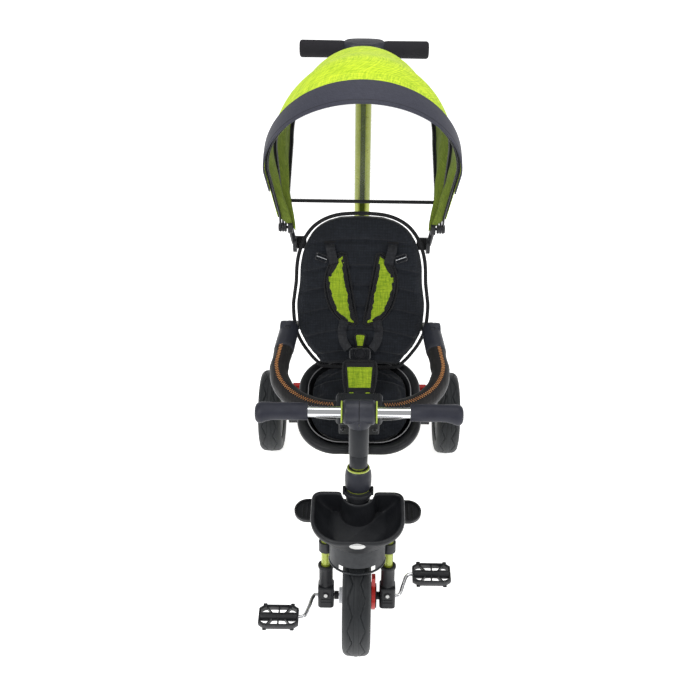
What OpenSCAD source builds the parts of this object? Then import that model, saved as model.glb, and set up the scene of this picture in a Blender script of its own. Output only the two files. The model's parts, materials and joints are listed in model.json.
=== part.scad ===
// Children's tricycle with a push handle, a turning seat, a guard rail and a folding canopy.
// The front points to -Y and Z is up. Lengths are in millimetres, angles in degrees.
// Names that end in _y or _z are distances behind the front axle and heights above the floor.

/* [Wheels] */
// Distance from the front axle to the rear axle
wheelbase = 572; // [540:1:700]
// Outer radius of the front tyre
front_r = 126; // [112:1:152]
// Outer radius of each rear tyre
rear_r = 108; // [95:1:128]
// Width of every tyre
tyre_w = 58; // [48:1:66]
// Height of the tyre section above its rim
tyre_h = 32; // [24:1:38]
// Width over both rear tyres
track_w = 517; // [480:1:620]
// Diameter of the front and rear axle rods
axle_d = 10; // [8:0.5:12]

/* [Steering] */
// Lean of the steering column from upright
column_lean = 19; // [15:1:22]
// Distance along the column from the front axle to the handlebar
bar_reach = 442; // [425:1:530]
// Width over the handlebar grips
bar_w = 410; // [340:1:420]
// Diameter of the handlebar tube
bar_d = 22; // [18:1:25]
// Diameter of a handlebar grip
bar_grip_d = 34; // [30:1:38]
// Length of a handlebar grip
bar_grip_l = 104; // [85:1:125]
// Width of the clamp cover on the handlebar
clamp_w = 66; // [55:1:80]
// Diameter of the steerer tube
steerer_d = 28; // [24:1:32]
// Half distance between the fork legs
leg_x = 66; // [62:1:80]
// Diameter of a fork leg
leg_d = 20; // [16:1:22]
// Width of the basket at its rim
basket_w = 184; // [150:1:220]
// Depth of the basket from its rim to its floor
basket_h = 48; // [40:1:58]
// Height of the basket rim above the floor
basket_z = 370; // [366:1:376]

/* [Pedals] */
// Distance from the front axle to a pedal spindle
crank_throw = 55; // [45:1:66]
// Width of a pedal along its spindle
pedal_w = 84; // [70:1:100]
// Length of a pedal across its spindle
pedal_l = 50; // [42:1:60]
// Thickness of a pedal
pedal_t = 18; // [14:1:22]

/* [Frame] */
// Diameter of the main beam
beam_d = 40; // [34:1:44]
// Diameter of the seat post
post_d = 38; // [32:1:46]
// Outer diameter of the rear axle tube
axle_tube_d = 28; // [22:1:32]
// Height of the footrest hinges above the floor
footrest_z = 205; // [198:1:210]
// Length of a footrest from its hinge to its tip
footrest_l = 108; // [90:1:130]

/* [Seat] */
// Distance of the seat's turning axis behind the front axle
swivel_y = 395; // [385:1:405]
// Height of the top of the turntable above the floor
table_z = 300; // [290:1:310]
// Width of the seat bowl
seat_w = 282; // [250:1:290]
// Length of the seat bowl
seat_l = 272; // [240:1:280]
// Rise of the seat towards the back
seat_tilt = 9; // [5:1:12]
// Width of the back cushion
back_w = 314; // [270:1:316]
// Height of the back cushion
back_h = 359; // [330:1:390]
// Lean of the back from upright
back_lean = 23; // [18:1:26]
// Thickness of the back cushion
back_t = 36; // [28:1:44]

/* [Guard rail] */
// Width of the guard rail between its centre lines
guard_w = 354; // [346:1:380]
// Diameter of the padded rail
guard_d = 42; // [34:1:46]
// Height of the rail above the floor
guard_z = 470; // [462:1:480]
// Distance of the front of the rail behind the front axle
guard_y = 222; // [216:1:240]

/* [Canopy] */
// Width of the canopy outside its cover
canopy_w = 392; // [372:1:430]
// Height of the hoops' round centre above their pivots
hoop_rise = 183; // [150:1:220]
// Lean of the front hoop forwards from upright
front_lean = 18; // [10:1:24]
// Lean of the rear hoop backwards from upright
rear_lean = 22; // [18:1:24]
// Diameter of a hoop rod
hoop_d = 5; // [4:0.5:5]
// Width of the stiff brim along its front
brim_w = 57; // [35:1:65]

/* [Push handle] */
// Length from the foot of the push bar to the handle
push_l = 882; // [860:1:1060]
// Lean of the push bar backwards from upright
push_lean = 12.6; // [11:0.1:15]
// Diameter of the push bar's upper tube
push_d = 36; // [28:1:38]
// Width over the handle grips
handle_w = 277; // [240:1:340]
// Diameter of a handle grip
handle_grip_d = 36; // [32:1:42]

/* [Hidden] */
$fn = 48;
fit = 0.05;      // radial clearance of a running fit
gap = 0.3;       // clearance between pieces of different bodies
wall = 3;        // wall of the plastic shells
tube_wall = 2;   // wall of the steel tubes

// Steering column: distances along it from the front axle
crown_t = front_r + 26;
head_t = crown_t + 48;
head_l = 118;
head_d = steerer_d + 18;
bush_l = 15;
collar_t = head_t + head_l - 50;
stem_t = head_t + head_l + 4;
clamp_d = 50;
clamp_t = bar_reach - clamp_d / 2;
hood_t = front_r - 9;
hood_r = 58;
hood_y = -27;
hood_back = 25;
sleeve_t = 30;
sleeve_l = 50;
fork_end_w = 34;
basket_back_y = (basket_z - front_r) * tan(column_lean);
basket_mid_y = basket_back_y - 64;

// Wheels and pedals
front_rim_r = front_r - tyre_h;
rear_rim_r = rear_r - tyre_h;
rear_x = (track_w - tyre_w) / 2;
clutch_r = 26;
clutch_w = 13;
clutch_x = tyre_w / 2 + 0.5;
crank_x = leg_x + fork_end_w / 2 + 3;
pedal_x = crank_x + 36 + gap + pedal_w / 2;
spindle_d = 8;

// Push bar
foot_y = wheelbase + 10;
foot_z = rear_r + 42;
lower_l = 380;
lower_d = push_d + 6;
socket_d = lower_d + 8;
hub_r = 24;
hub_w = 88;
slide_room = 120;
handle_y = foot_y + push_l * sin(push_lean);

// Frame
y_mid = (handle_y + hub_r - front_r) / 2;
head_mid = [0, (head_t + 38) * sin(column_lean) + 10, front_r + (head_t + 38) * cos(column_lean)];
knee = [0, 240, 215];
beam_end = [0, foot_y - 22 * sin(push_lean), foot_z - 22 * cos(push_lean)];
axle_end = rear_x - tyre_w / 2 - 10;
brake_w = 36;
brake_x = axle_end - 4 - brake_w;
brake_pin_y = wheelbase + 34;
brake_pin_z = rear_r + 4;
footrest_y = 165;
footrest_x = 34;
hinge_l = 30;

// Seat
base_t = 12;
base_z = table_z - base_t - gap - 18;
spigot_d = 20;
seat_y = swivel_y - 31;
seat_z = table_z + 50;
bowl_h = 44;
seat_r = 92;
hinge_y = swivel_y + 55;
hinge_z = table_z + 86;
back_shell_t = 11;
arm_x = back_w / 2 + 5;
arm_t = 10;
elbow_y = guard_y + 256;
guard_r = 125;
post_w = 2 * (guard_w / 2 - guard_r - 3);
pivot_y = hinge_y + 90;
pivot_z = hinge_z + 324;
pin_x = 160;

// Canopy hoops, from the inside out
cover_t = 2;
leg_slope = 0.1;
cover_foot = 60;
cover_r = canopy_w / 2;
hoop_r = cover_r - cover_t - 1.2 - hoop_d / 2;
eye_t = 5;
eye_pitch = eye_t + 0.5;
mid_lean = (front_lean - rear_lean) / 2;

// ---- Places to stand on ----

// Y counted from the front axle, Z from the floor
module from_axle() {
  translate([0, -y_mid, 0]) children();
}

// Z runs up the steering column from the front axle
module on_column() {
  from_axle() translate([0, 0, front_r]) rotate([-column_lean, 0, 0]) children();
}

// Z runs up the push bar from its foot
module on_push_bar() {
  from_axle() translate([0, foot_y, foot_z]) rotate([-push_lean, 0, 0]) children();
}

// Z runs up the back from its lower edge, Y points out of its rear
module on_back() {
  from_axle() translate([0, hinge_y, hinge_z]) rotate([-back_lean, 0, 0]) children();
}

// Z is square to the seat's rim
module on_seat() {
  from_axle() translate([0, seat_y, seat_z]) rotate([seat_tilt, 0, 0]) children();
}

// Z runs up a canopy hoop that leans forwards by lean
module on_hoop(lean) {
  from_axle() translate([0, pivot_y, pivot_z]) rotate([lean, 0, 0]) children();
}

// ---- Shapes that repeat ----

module both_sides() {
  children();
  mirror([1, 0, 0]) children();
}

// Round bar from point a to point b
module rod(a, b, d) {
  v = b - a;
  length = norm(v);
  translate(a) rotate([0, acos(v.z / length), atan2(v.y, v.x)]) cylinder(h = length, d = d);
}

// Cylinder along X that starts at x
module x_cylinder(x, length, d) {
  translate([x, 0, 0]) rotate([0, 90, 0]) cylinder(h = length, d = d);
}

// Cylinder along X that starts at point p
module x_cylinder_at(p, length, d) {
  translate([0, p.y, p.z]) x_cylinder(p.x, length, d);
}

// Box centred in X that fills y0 to y1 and z0 to z1
module x_box(width, y0, y1, z0, z1) {
  translate([-width / 2, y0, z0]) cube([width, y1 - y0, z1 - z0]);
}

// Tyre about the X axis, with rounded shoulders
module tyre(r) {
  shoulder = 14;
  side = tyre_w / 2 - shoulder;
  rotate([0, 90, 0]) rotate_extrude() {
    translate([r - tyre_h, -tyre_w / 2 + 4]) square([tyre_h - shoulder, tyre_w - 8]);
    translate([r - tyre_h + 6, -tyre_w / 2]) square([tyre_h - shoulder - 6, tyre_w]);
    translate([r - shoulder - 1, -side]) square([shoulder, 2 * side]);
    translate([r - shoulder, side]) circle(r = shoulder);
    translate([r - shoulder, -side]) circle(r = shoulder);
    translate([r - 6, 0]) intersection() {
      square([12, 16], center = true);
      circle(r = 8);
    }
  }
}

// Spoked rim about the X axis with a hub from hub_x0 to hub_x1
module rim(r, hub_x0, hub_x1, spokes = 5) {
  rim_w = tyre_w - 14;
  core_r = 17;
  difference() {
    union() {
      rotate([0, 90, 0]) rotate_extrude() {
        translate([r - 6, -rim_w / 2]) square([6, rim_w]);
        translate([r - 14, -3]) square([9, 6]);
      }
      x_cylinder(hub_x0, hub_x1 - hub_x0, 2 * core_r);
      for (i = [0:spokes - 1]) rotate([i * 360 / spokes, 0, 0])
        translate([-8, -9, core_r - 3]) cube([16, 18, r - core_r - 4]);
    }
    children();
  }
}

// Pedal about the X axis with pointed front and rear edges and eight cleats
module pedal_body() {
  flat = pedal_l - 16;
  difference() {
    union() {
      translate([0, 0, -pedal_t / 2]) linear_extrude(pedal_t) polygon([
        [-pedal_w / 2, -flat / 2], [-pedal_w / 2 + 12, -pedal_l / 2],
        [pedal_w / 2 - 12, -pedal_l / 2], [pedal_w / 2, -flat / 2],
        [pedal_w / 2, flat / 2], [pedal_w / 2 - 12, pedal_l / 2],
        [-pedal_w / 2 + 12, pedal_l / 2], [-pedal_w / 2, flat / 2]]);
    }
    for (x = [-pedal_w / 4 - 2, pedal_w / 4 + 2], y = [-1, 1])
      translate([x - 13, y > 0 ? 8 : -pedal_l / 2 + 5, -pedal_t]) cube([26, pedal_l / 2 - 13, 2 * pedal_t]);
    x_cylinder(-pedal_w, 2 * pedal_w, spindle_d + 2 * fit);
  }
}

// Folding footrest with its hinge along Y at the origin, reaching towards +X
module footrest() {
  knuckle = 16;
  plate_w = 60;
  difference() {
    union() {
      rotate([-90, 0, 0]) translate([0, 0, -hinge_l / 2]) cylinder(h = hinge_l, d = knuckle);
      translate([0, -hinge_l / 2, -4]) cube([24, hinge_l, 8]);
      translate([20 + plate_w / 2, 0, -4]) cylinder(h = 8, d = plate_w);
      translate([footrest_l - plate_w / 2, 0, -4]) cylinder(h = 8, d = plate_w);
      translate([20 + plate_w / 2, -plate_w / 2, -4])
        cube([footrest_l - plate_w - 20, plate_w, 8]);
    }
    translate([20 + plate_w / 2, 0, 1]) cylinder(h = 8, d = plate_w - 8);
    translate([footrest_l - plate_w / 2, 0, 1]) cylinder(h = 8, d = plate_w - 8);
    translate([20 + plate_w / 2, -plate_w / 2 + 4, 1])
      cube([footrest_l - plate_w - 20, plate_w - 8, 8]);
    rotate([-90, 0, 0]) translate([0, 0, -hinge_l]) cylinder(h = 2 * hinge_l, d = 5 + 2 * fit);
  }
}

// Half-moon outline of the basket, grown outwards by g
module basket_outline(w, g = 0) {
  corner = 15;
  hull() {
    for (s = [-1, 1]) {
      translate([s * (w / 2 - 62), basket_mid_y]) circle(r = 62 + g, $fn = 40);
      translate([s * (w / 2 - corner), basket_back_y - corner]) circle(r = corner + g, $fn = 24);
    }
  }
}

// Outline of the back cushion, standing on its lower edge
module back_outline(w, h) {
  arch = [145 / 314 * w, 110];
  hull() {
    polygon([for (a = [0:10:180]) [arch.x * cos(a), h - arch.y + arch.y * sin(a)]]);
    for (s = [-1, 1]) {
      translate([s * (w / 2 - 60), 143]) circle(r = 60, $fn = 36);
      translate([s * (w / 2 - 95), 60]) circle(r = 60, $fn = 36);
    }
  }
}

// Plan outline of the seat bowl
module seat_outline(w, l, r) {
  hull() for (sx = [-1, 1], sy = [-1, 1])
    translate([sx * (w / 2 - r), sy * (l / 2 - r)]) circle(r = r, $fn = 40);
}

// Arch between radii r0 and r1 with straight legs, drawn with its height along X
module arch_band(r0, r1, foot) {
  inset = (hoop_rise - foot) * leg_slope;
  intersection() {
    union() {
      difference() {
        translate([hoop_rise, 0]) circle(r = r1, $fn = 90);
        translate([hoop_rise, 0]) circle(r = r0, $fn = 90);
        translate([-400, -400]) square([400 + hoop_rise, 800]);
      }
      for (s = [-1, 1])
        polygon([[hoop_rise, s * r1], [hoop_rise, s * r0],
          [foot, s * (r0 - inset)], [foot, s * (r1 - inset)]]);
    }
    translate([foot, -400]) square([800, 800]);
  }
}

// Hoop rod with an eye on the pivot pin, whose eyes are number slot from the inside
module hoop(slot) {
  eye_x = pin_x + gap + slot * eye_pitch;
  foot = [eye_x + eye_t / 2 + 0.2, 0, 8];
  rotate([90, 0, 0]) translate([0, hoop_rise, 0])
    rotate_extrude(angle = 180) translate([hoop_r, 0]) circle(d = hoop_d);
  both_sides() {
    rod(foot, [hoop_r, 0, hoop_rise], hoop_d);
    translate([hoop_r, 0, hoop_rise]) sphere(d = hoop_d + 0.6);
    difference() {
      x_cylinder(eye_x, eye_t, 20);
      x_cylinder(0, 300, 6 + 2 * fit);
    }
  }
}

// ---- Frame ----

module main_frame() {
  color("yellowgreen") difference() {
    union() {
      on_column() translate([0, 0, head_t]) cylinder(h = head_l, d = head_d);
      from_axle() {
        rod(head_mid, knee, beam_d);
        translate(knee) sphere(d = beam_d + 1);
        rod(knee, beam_end, beam_d);
        rod(beam_end, [0, wheelbase, rear_r], axle_tube_d);
        translate([0, swivel_y, knee.z - 45]) cylinder(h = base_z - knee.z + 45, d = post_d);
        translate([0, wheelbase, rear_r]) x_cylinder(-axle_end, 2 * axle_end, axle_tube_d);
      }
      on_push_bar() translate([0, 0, -22]) cylinder(h = 112, d = socket_d);
    }
    on_column() translate([0, 0, head_t - 1]) cylinder(h = head_l + 2, d = head_d - 2 * wall);
    on_push_bar() cylinder(h = 200, d = lower_d + 2 * fit);
    from_axle() translate([0, wheelbase, rear_r]) x_cylinder(-axle_end - 1, 2 * axle_end + 2, axle_d);
    from_axle() translate([0, swivel_y, table_z - base_t - 48]) cylinder(h = 60, d = spigot_d + 2 * fit);
  }
}

module head_bushes() {
  color("dimgray") on_column() for (t = [head_t, head_t + head_l - bush_l])
    translate([0, 0, t]) difference() {
      cylinder(h = bush_l, d = head_d - 2 * wall);
      translate([0, 0, -1]) cylinder(h = bush_l + 2, d = steerer_d + 2 * fit);
    }
}

module head_collar() {
  color("#4b5164") on_column() translate([0, 0, collar_t]) difference() {
    union() {
      cylinder(h = 50, d = head_d + 5);
      translate([0, 0, 8]) cylinder(h = 34, d = head_d + 8);
    }
    translate([0, 0, -1]) cylinder(h = 52, d = head_d);
  }
}

module rear_axle() {
  color("silver") from_axle() translate([0, wheelbase, rear_r])
    x_cylinder(-rear_x - 22, 2 * rear_x + 44, axle_d);
}

module brake_housings() {
  color("#2b2d31") from_axle() both_sides() difference() {
    union() {
      translate([brake_x, wheelbase - 22, rear_r - 24]) cube([brake_w, 68, 48]);
      translate([0, wheelbase, rear_r]) x_cylinder(brake_x, brake_w, 52);
    }
    translate([0, wheelbase, rear_r]) x_cylinder(brake_x - 1, brake_w + 2, axle_tube_d);
    translate([brake_x + 6 - gap, brake_pin_y - 12, rear_r - 30]) cube([brake_w - 12 + 2 * gap, 60, 60]);
  }
  color("silver") from_axle() both_sides()
    translate([0, brake_pin_y, brake_pin_z]) x_cylinder(brake_x + 1, brake_w - 2, 5);
}

module footrest_bracket() {
  color("#2b2d31") from_axle() {
    difference() {
      x_box(2 * footrest_x - 18, footrest_y - 28, footrest_y + 28, footrest_z - 14, footrest_z + 60);
      rod(head_mid, knee, beam_d);
      rod(head_mid + [0, 0, beam_d / 2 - 4], knee + [0, 0, beam_d / 2 - 4], beam_d);
      rod(head_mid + [0, 0, beam_d], knee + [0, 0, beam_d], beam_d + 20);
    }
    for (y = [footrest_y - 28, footrest_y + hinge_l / 2 + gap])
      translate([-footrest_x - 8, y, footrest_z - 10])
        cube([2 * footrest_x + 16, 13 - gap, 18]);
    for (x = [-footrest_x, footrest_x])
      rod([x, footrest_y - 28, footrest_z], [x, footrest_y + 28, footrest_z], 5);
  }
}

// ---- Push bar ----

module push_bar_lower() {
  color("yellowgreen") on_push_bar() difference() {
    translate([0, 0, gap]) cylinder(h = lower_l - gap, d = lower_d);
    translate([0, 0, 20]) cylinder(h = lower_l, d = push_d + 2 * fit);
  }
}

module push_clamp() {
  color("#2b2d31") on_push_bar() translate([0, 0, lower_l - 38]) difference() {
    union() {
      cylinder(h = 44, d = lower_d + 10);
      translate([-14, 0, 6]) cube([28, lower_d / 2 + 13, 30]);
    }
    translate([0, 0, -1]) cylinder(h = 39, d = lower_d);
    translate([0, 0, 30]) cylinder(h = 20, d = push_d + 2 * gap);
    translate([0, lower_d / 2 + 6, 21]) rotate([-90, 0, 0]) cylinder(h = 20, d = 16 + 2 * gap);
  }
}

module push_button() {
  color("#2b2d31") on_push_bar() translate([0, lower_d / 2 + 9, lower_l - 17]) rotate([-90, 0, 0])
    cylinder(h = 8, d = 16);
}

module push_bar_upper() {
  color("#cad05b") on_push_bar() difference() {
    translate([0, 0, 20 + slide_room + 60]) cylinder(h = push_l - 11 - 80 - slide_room, d = push_d);
    translate([0, 0, 0]) cylinder(h = push_l - 40, d = push_d - 2 * tube_wall);
    translate([0, 0, push_l]) x_cylinder(-hub_w, 2 * hub_w, 22);
  }
}

module handle_hub() {
  color("#6d7082") on_push_bar() translate([0, 0, push_l]) difference() {
    union() {
      x_cylinder(-hub_w / 2, hub_w, 2 * hub_r - 6);
      x_cylinder(-hub_w / 2 + 8, hub_w - 16, 2 * hub_r);
      translate([0, 0, -42]) cylinder(h = 42, d = push_d + 8);
    }
    x_cylinder(-hub_w, 2 * hub_w, 22);
    translate([0, 0, -50]) cylinder(h = 50 - 11, d = push_d);
    translate([0, 0, -12]) cylinder(h = 12, d = push_d);
  }
}

module handle_tube() {
  color("silver") on_push_bar() translate([0, 0, push_l]) difference() {
    x_cylinder(-handle_w / 2 + 6, handle_w - 12, 22);
    x_cylinder(-handle_w, 2 * handle_w, 22 - 2 * tube_wall);
  }
}

module handle_grips() {
  color("#28262d") on_push_bar() translate([0, 0, push_l]) both_sides() difference() {
    x_cylinder(hub_w / 2, (handle_w - hub_w) / 2, handle_grip_d);
    x_cylinder(hub_w / 2 - 1, (handle_w - hub_w) / 2 - 5, 22);
  }
}

// ---- Steering ----

module fork_solid() {
  both_sides() {
    translate([leg_x, 0, -14]) cylinder(h = crown_t + 14, d = leg_d);
    translate([leg_x, 0, crown_t]) sphere(d = leg_d + 4);
  }
  translate([0, 0, crown_t]) x_cylinder(-leg_x, 2 * leg_x, leg_d + 4);
}

module fork() {
  color("yellowgreen") on_column() difference() {
    union() {
      fork_solid();
      translate([0, 0, crown_t]) cylinder(h = bar_reach - bar_d / 2 - gap - crown_t, d = steerer_d);
    }
    x_cylinder(-leg_x - 30, 2 * leg_x + 60, axle_d + 2 * fit);
  }
}

module fork_sleeves() {
  color("#202226") on_column() both_sides() translate([leg_x, 0, sleeve_t]) difference() {
    union() {
      cylinder(h = sleeve_l, d = leg_d + 9);
      translate([0, 0, sleeve_l - 6]) cylinder(h = 6, d = leg_d + 13);
    }
    translate([0, 0, -1]) cylinder(h = sleeve_l + 2, d = leg_d);
  }
}

module fork_ends() {
  color("#202226") on_column() both_sides() difference() {
    translate([leg_x - fork_end_w / 2, -18, -22]) cube([fork_end_w, 36, sleeve_t + 22]);
    translate([leg_x, 0, -14]) cylinder(h = 60, d = leg_d);
    x_cylinder(0, leg_x + 40, axle_d + 2 * fit);
  }
}

module screw_caps() {
  color("white") on_column() both_sides() translate([leg_x, -20, 12]) rotate([-90, 0, 0])
    cylinder(h = 2, d = 8);
}

module fender() {
  top_z = basket_z - basket_h - front_r;
  color("#1e242b") difference() {
    union() {
      on_column() difference() {
        union() {
          translate([0, hood_y, hood_t]) cylinder(h = 200, r = hood_r, $fn = 72);
          x_box(2 * hood_r, hood_y, hood_back, hood_t, hood_t + 200);
        }
        translate([0, hood_y, hood_t - 1]) cylinder(h = crown_t - hood_t + 20, r = hood_r - wall, $fn = 72);
        x_box(2 * (hood_r - wall), hood_y, hood_back + 1, hood_t - 1, crown_t + 19);
      }
      on_column() both_sides() translate([leg_x, 0, hood_t]) cylinder(h = 22, d = leg_d + 10);
    }
    from_axle() translate([0, 0, front_r + top_z + 200]) cube([600, 600, 400], center = true);
    on_column() {
      fork_solid();
      translate([0, 0, crown_t]) cylinder(h = 300, d = steerer_d);
      translate([0, 0, head_t - 8]) cylinder(h = 300, d = head_d + 20);
      x_box(tyre_w + 16, -200, 200, 0, front_r + 6);
      x_box(2 * hood_r + 20, hood_y - 2, 200, head_t - 5, 2 * head_t);
    }
  }
}

module basket() {
  floor_z = basket_z - basket_h;
  floor_back = (floor_z + wall - front_r) * tan(column_lean) - 1; // so the column doesn't lean over the floor
  clear = head_d + 22;
  color("#27262b") difference() {
    from_axle() difference() {
      union() {
        hull() {
          translate([0, 0, floor_z]) linear_extrude(1) basket_outline(basket_w - 50, -10);
          translate([0, 0, basket_z - 11]) linear_extrude(1) basket_outline(basket_w, -4);
        }
        translate([0, 0, basket_z - 10]) linear_extrude(10) basket_outline(basket_w);
      }
      difference() {
        intersection() {
          hull() {
            translate([0, 0, floor_z]) linear_extrude(1) intersection() {
              basket_outline(basket_w - 50, -10 - wall);
              translate([-basket_w, floor_back - 2 * basket_w]) square(2 * basket_w);
            }
            translate([0, 0, basket_z]) linear_extrude(1) basket_outline(basket_w, -4 - wall);
          }
          x_box(2 * basket_w, -200, 200, floor_z + wall, 2 * basket_z);
        }
        translate([0, 0, front_r]) rotate([-column_lean, 0, 0]) cylinder(h = 500, d = clear + 2 * wall);
      }
    }
    on_column() cylinder(h = 500, d = clear);
  }
}

// Plain oval plate on the front of the basket's rim
module badge() {
  color("silver") from_axle()
    translate([0, basket_mid_y - 62.3, basket_z - 5]) rotate([90, 0, 0]) linear_extrude(2) {
      for (s = [-1, 1]) translate([s * 11, 0]) circle(d = 10);
      square([22, 10], center = true);
    }
}

module stem_cover() {
  color("#1b1f22") on_column() translate([0, 0, stem_t]) difference() {
    union() {
      cylinder(h = 26, d = steerer_d + 9);
      translate([0, 0, 27]) cylinder(h = clamp_t - stem_t - 27, d = steerer_d + 11);
      cylinder(h = clamp_t - stem_t - 1, d = steerer_d + 7);
    }
    translate([0, 0, -1]) cylinder(h = 300, d = steerer_d);
  }
}

module handlebar() {
  color("silver") on_column() translate([0, 0, bar_reach]) difference() {
    x_cylinder(-bar_w / 2 + 8, bar_w - 16, bar_d);
    x_cylinder(-bar_w, 2 * bar_w, bar_d - 2 * tube_wall);
  }
}

module clamp_shell() {
  on_column() difference() {
    union() {
      translate([0, 0, bar_reach]) x_cylinder(0, clamp_w / 2, clamp_d);
      intersection() {
        translate([0, 0, clamp_t]) cylinder(h = clamp_d / 2, d = clamp_w - 8);
        x_box(clamp_w, -clamp_d / 2, clamp_d / 2, 0, 1000);
      }
    }
    translate([0, 0, bar_reach]) x_cylinder(-1, clamp_w, bar_d);
    translate([0, 0, clamp_t - 1]) cylinder(h = 27, d = steerer_d);
    translate([-200, -100, 0]) cube([200, 200, 1000]);
  }
}

module clamp_right() {
  color("#464a5d") clamp_shell();
}

module clamp_left() {
  color("#464a5d") mirror([1, 0, 0]) clamp_shell();
}

module clamp_rings() {
  color("yellowgreen") on_column() translate([0, 0, bar_reach]) both_sides() difference() {
    x_cylinder(clamp_w / 2, 3, clamp_d - 6);
    x_cylinder(0, 100, bar_d);
  }
}

module bar_grips() {
  color("#3a3d49") on_column() translate([0, 0, bar_reach]) both_sides() difference() {
    union() {
      x_cylinder(bar_w / 2 - bar_grip_l, bar_grip_l - 6, bar_grip_d);
      x_cylinder(bar_w / 2 - 12, 12, bar_grip_d + 5);
      x_cylinder(bar_w / 2 - bar_grip_l, 5, bar_grip_d + 4);
    }
    x_cylinder(0, bar_w / 2 - 8, bar_d);
  }
}

// ---- Front wheel and pedals ----

module front_tyre() {
  color("#333940") on_column() tyre(front_r);
}

module front_rim() {
  color("gainsboro") on_column() rim(front_rim_r, -clutch_x - 8, clutch_x)
    x_cylinder(-100, 200, axle_d + 2 * fit);
}

module clutch_housing() {
  color("#202226") on_column() difference() {
    union() {
      x_cylinder(clutch_x, clutch_w, 2 * clutch_r);
      x_cylinder(clutch_x, 2, 2 * clutch_r + 4);
    }
    x_cylinder(0, 100, axle_d + 2 * fit);
  }
}

module clutch_lever() {
  color("red") on_column() difference() {
    union() {
      x_cylinder(clutch_x + 2 + gap, 8, 2 * clutch_r + 7);
      translate([clutch_x + 2 + gap, -9, clutch_r]) cube([8, 18, 24]);
    }
    x_cylinder(0, 100, 2 * clutch_r + 2 * fit);
  }
}

// Axle, two slanting arms and two spindles, joined in short bosses
module crank() {
  boss_d = axle_d + 4;
  color("silver") on_column() rotate([column_lean, 0, 0]) {
    x_cylinder(-crank_x - 3, 2 * crank_x + 6, axle_d);
    for (s = [-1, 1]) {
      elbow = [s * (crank_x + 3), 0, 0];
      knuckle = [s * (crank_x + 30), s * crank_throw, 0];
      rod(elbow, knuckle, axle_d);
      translate([elbow.x - 5.4, 0, 0]) x_cylinder(0, 10.8, boss_d);
      translate([knuckle.x - 5.6, knuckle.y, 0]) x_cylinder(0, 11.2, boss_d);
      rod(knuckle, knuckle + [s * (pedal_w + 4), 0, 0], spindle_d);
    }
    x_cylinder(-leg_x + fork_end_w / 2 + gap, leg_x - fork_end_w / 2 - clutch_x - 8 - 2 * gap, 18);
  }
}

module pedal_left() {
  color("#2b2b30") on_column() rotate([column_lean, 0, 0])
    translate([-pedal_x, -crank_throw, 0]) pedal_body();
}

module pedal_right() {
  color("#2b2b30") on_column() rotate([column_lean, 0, 0])
    translate([pedal_x, crank_throw, 0]) pedal_body();
}

// ---- Rear wheels, brakes and footrests ----

module rear_rim() {
  rim(rear_rim_r, -tyre_w / 2 - 2, tyre_w / 2) x_cylinder(-100, 100 + 24, axle_d + 2 * fit);
}

module rear_tyre_left() {
  color("#2d3333") from_axle() translate([-rear_x, wheelbase, rear_r]) tyre(rear_r);
}

module rear_tyre_right() {
  color("#2d3333") from_axle() translate([rear_x, wheelbase, rear_r]) tyre(rear_r);
}

module rear_rim_left() {
  color("gainsboro") from_axle() translate([-rear_x, wheelbase, rear_r]) mirror([1, 0, 0]) rear_rim();
}

module rear_rim_right() {
  color("gainsboro") from_axle() translate([rear_x, wheelbase, rear_r]) rear_rim();
}

// Foot pedal of a rear brake, on its pin at the origin, reaching back
module brake_pedal() {
  width = brake_w - 12;
  difference() {
    union() {
      x_cylinder(0, width, 14);
      translate([0, 0, -2]) cube([width, 50, 7]);
      translate([0, 44, -2]) cube([width, 12, 14]);
    }
    x_cylinder(-1, width + 2, 5 + 2 * fit);
  }
}

module brake_pedal_right() {
  color("red") from_axle() translate([brake_x + 6, brake_pin_y, brake_pin_z]) brake_pedal();
}

module brake_pedal_left() {
  color("red") mirror([1, 0, 0]) from_axle() translate([brake_x + 6, brake_pin_y, brake_pin_z]) brake_pedal();
}

module footrest_right() {
  color("#212325") from_axle() translate([footrest_x, footrest_y, footrest_z]) footrest();
}

module footrest_left() {
  color("#212325") mirror([1, 0, 0]) from_axle() translate([footrest_x, footrest_y, footrest_z]) footrest();
}

// ---- Seat ----

module seat_base() {
  color("#2b2d31") from_axle() translate([0, swivel_y, base_z]) difference() {
    union() {
      translate([0, 0, 6]) cylinder(h = 12, d = 130);
      cylinder(h = 6, d = 60);
    }
    translate([0, 0, -1]) cylinder(h = 30, d = spigot_d + 2 * fit);
  }
}

module seat_turntable() {
  color("silver") from_axle() translate([0, swivel_y, table_z - base_t]) {
    cylinder(h = base_t, d = 120);
    translate([0, 0, -40]) cylinder(h = 40, d = spigot_d);
  }
}

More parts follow.
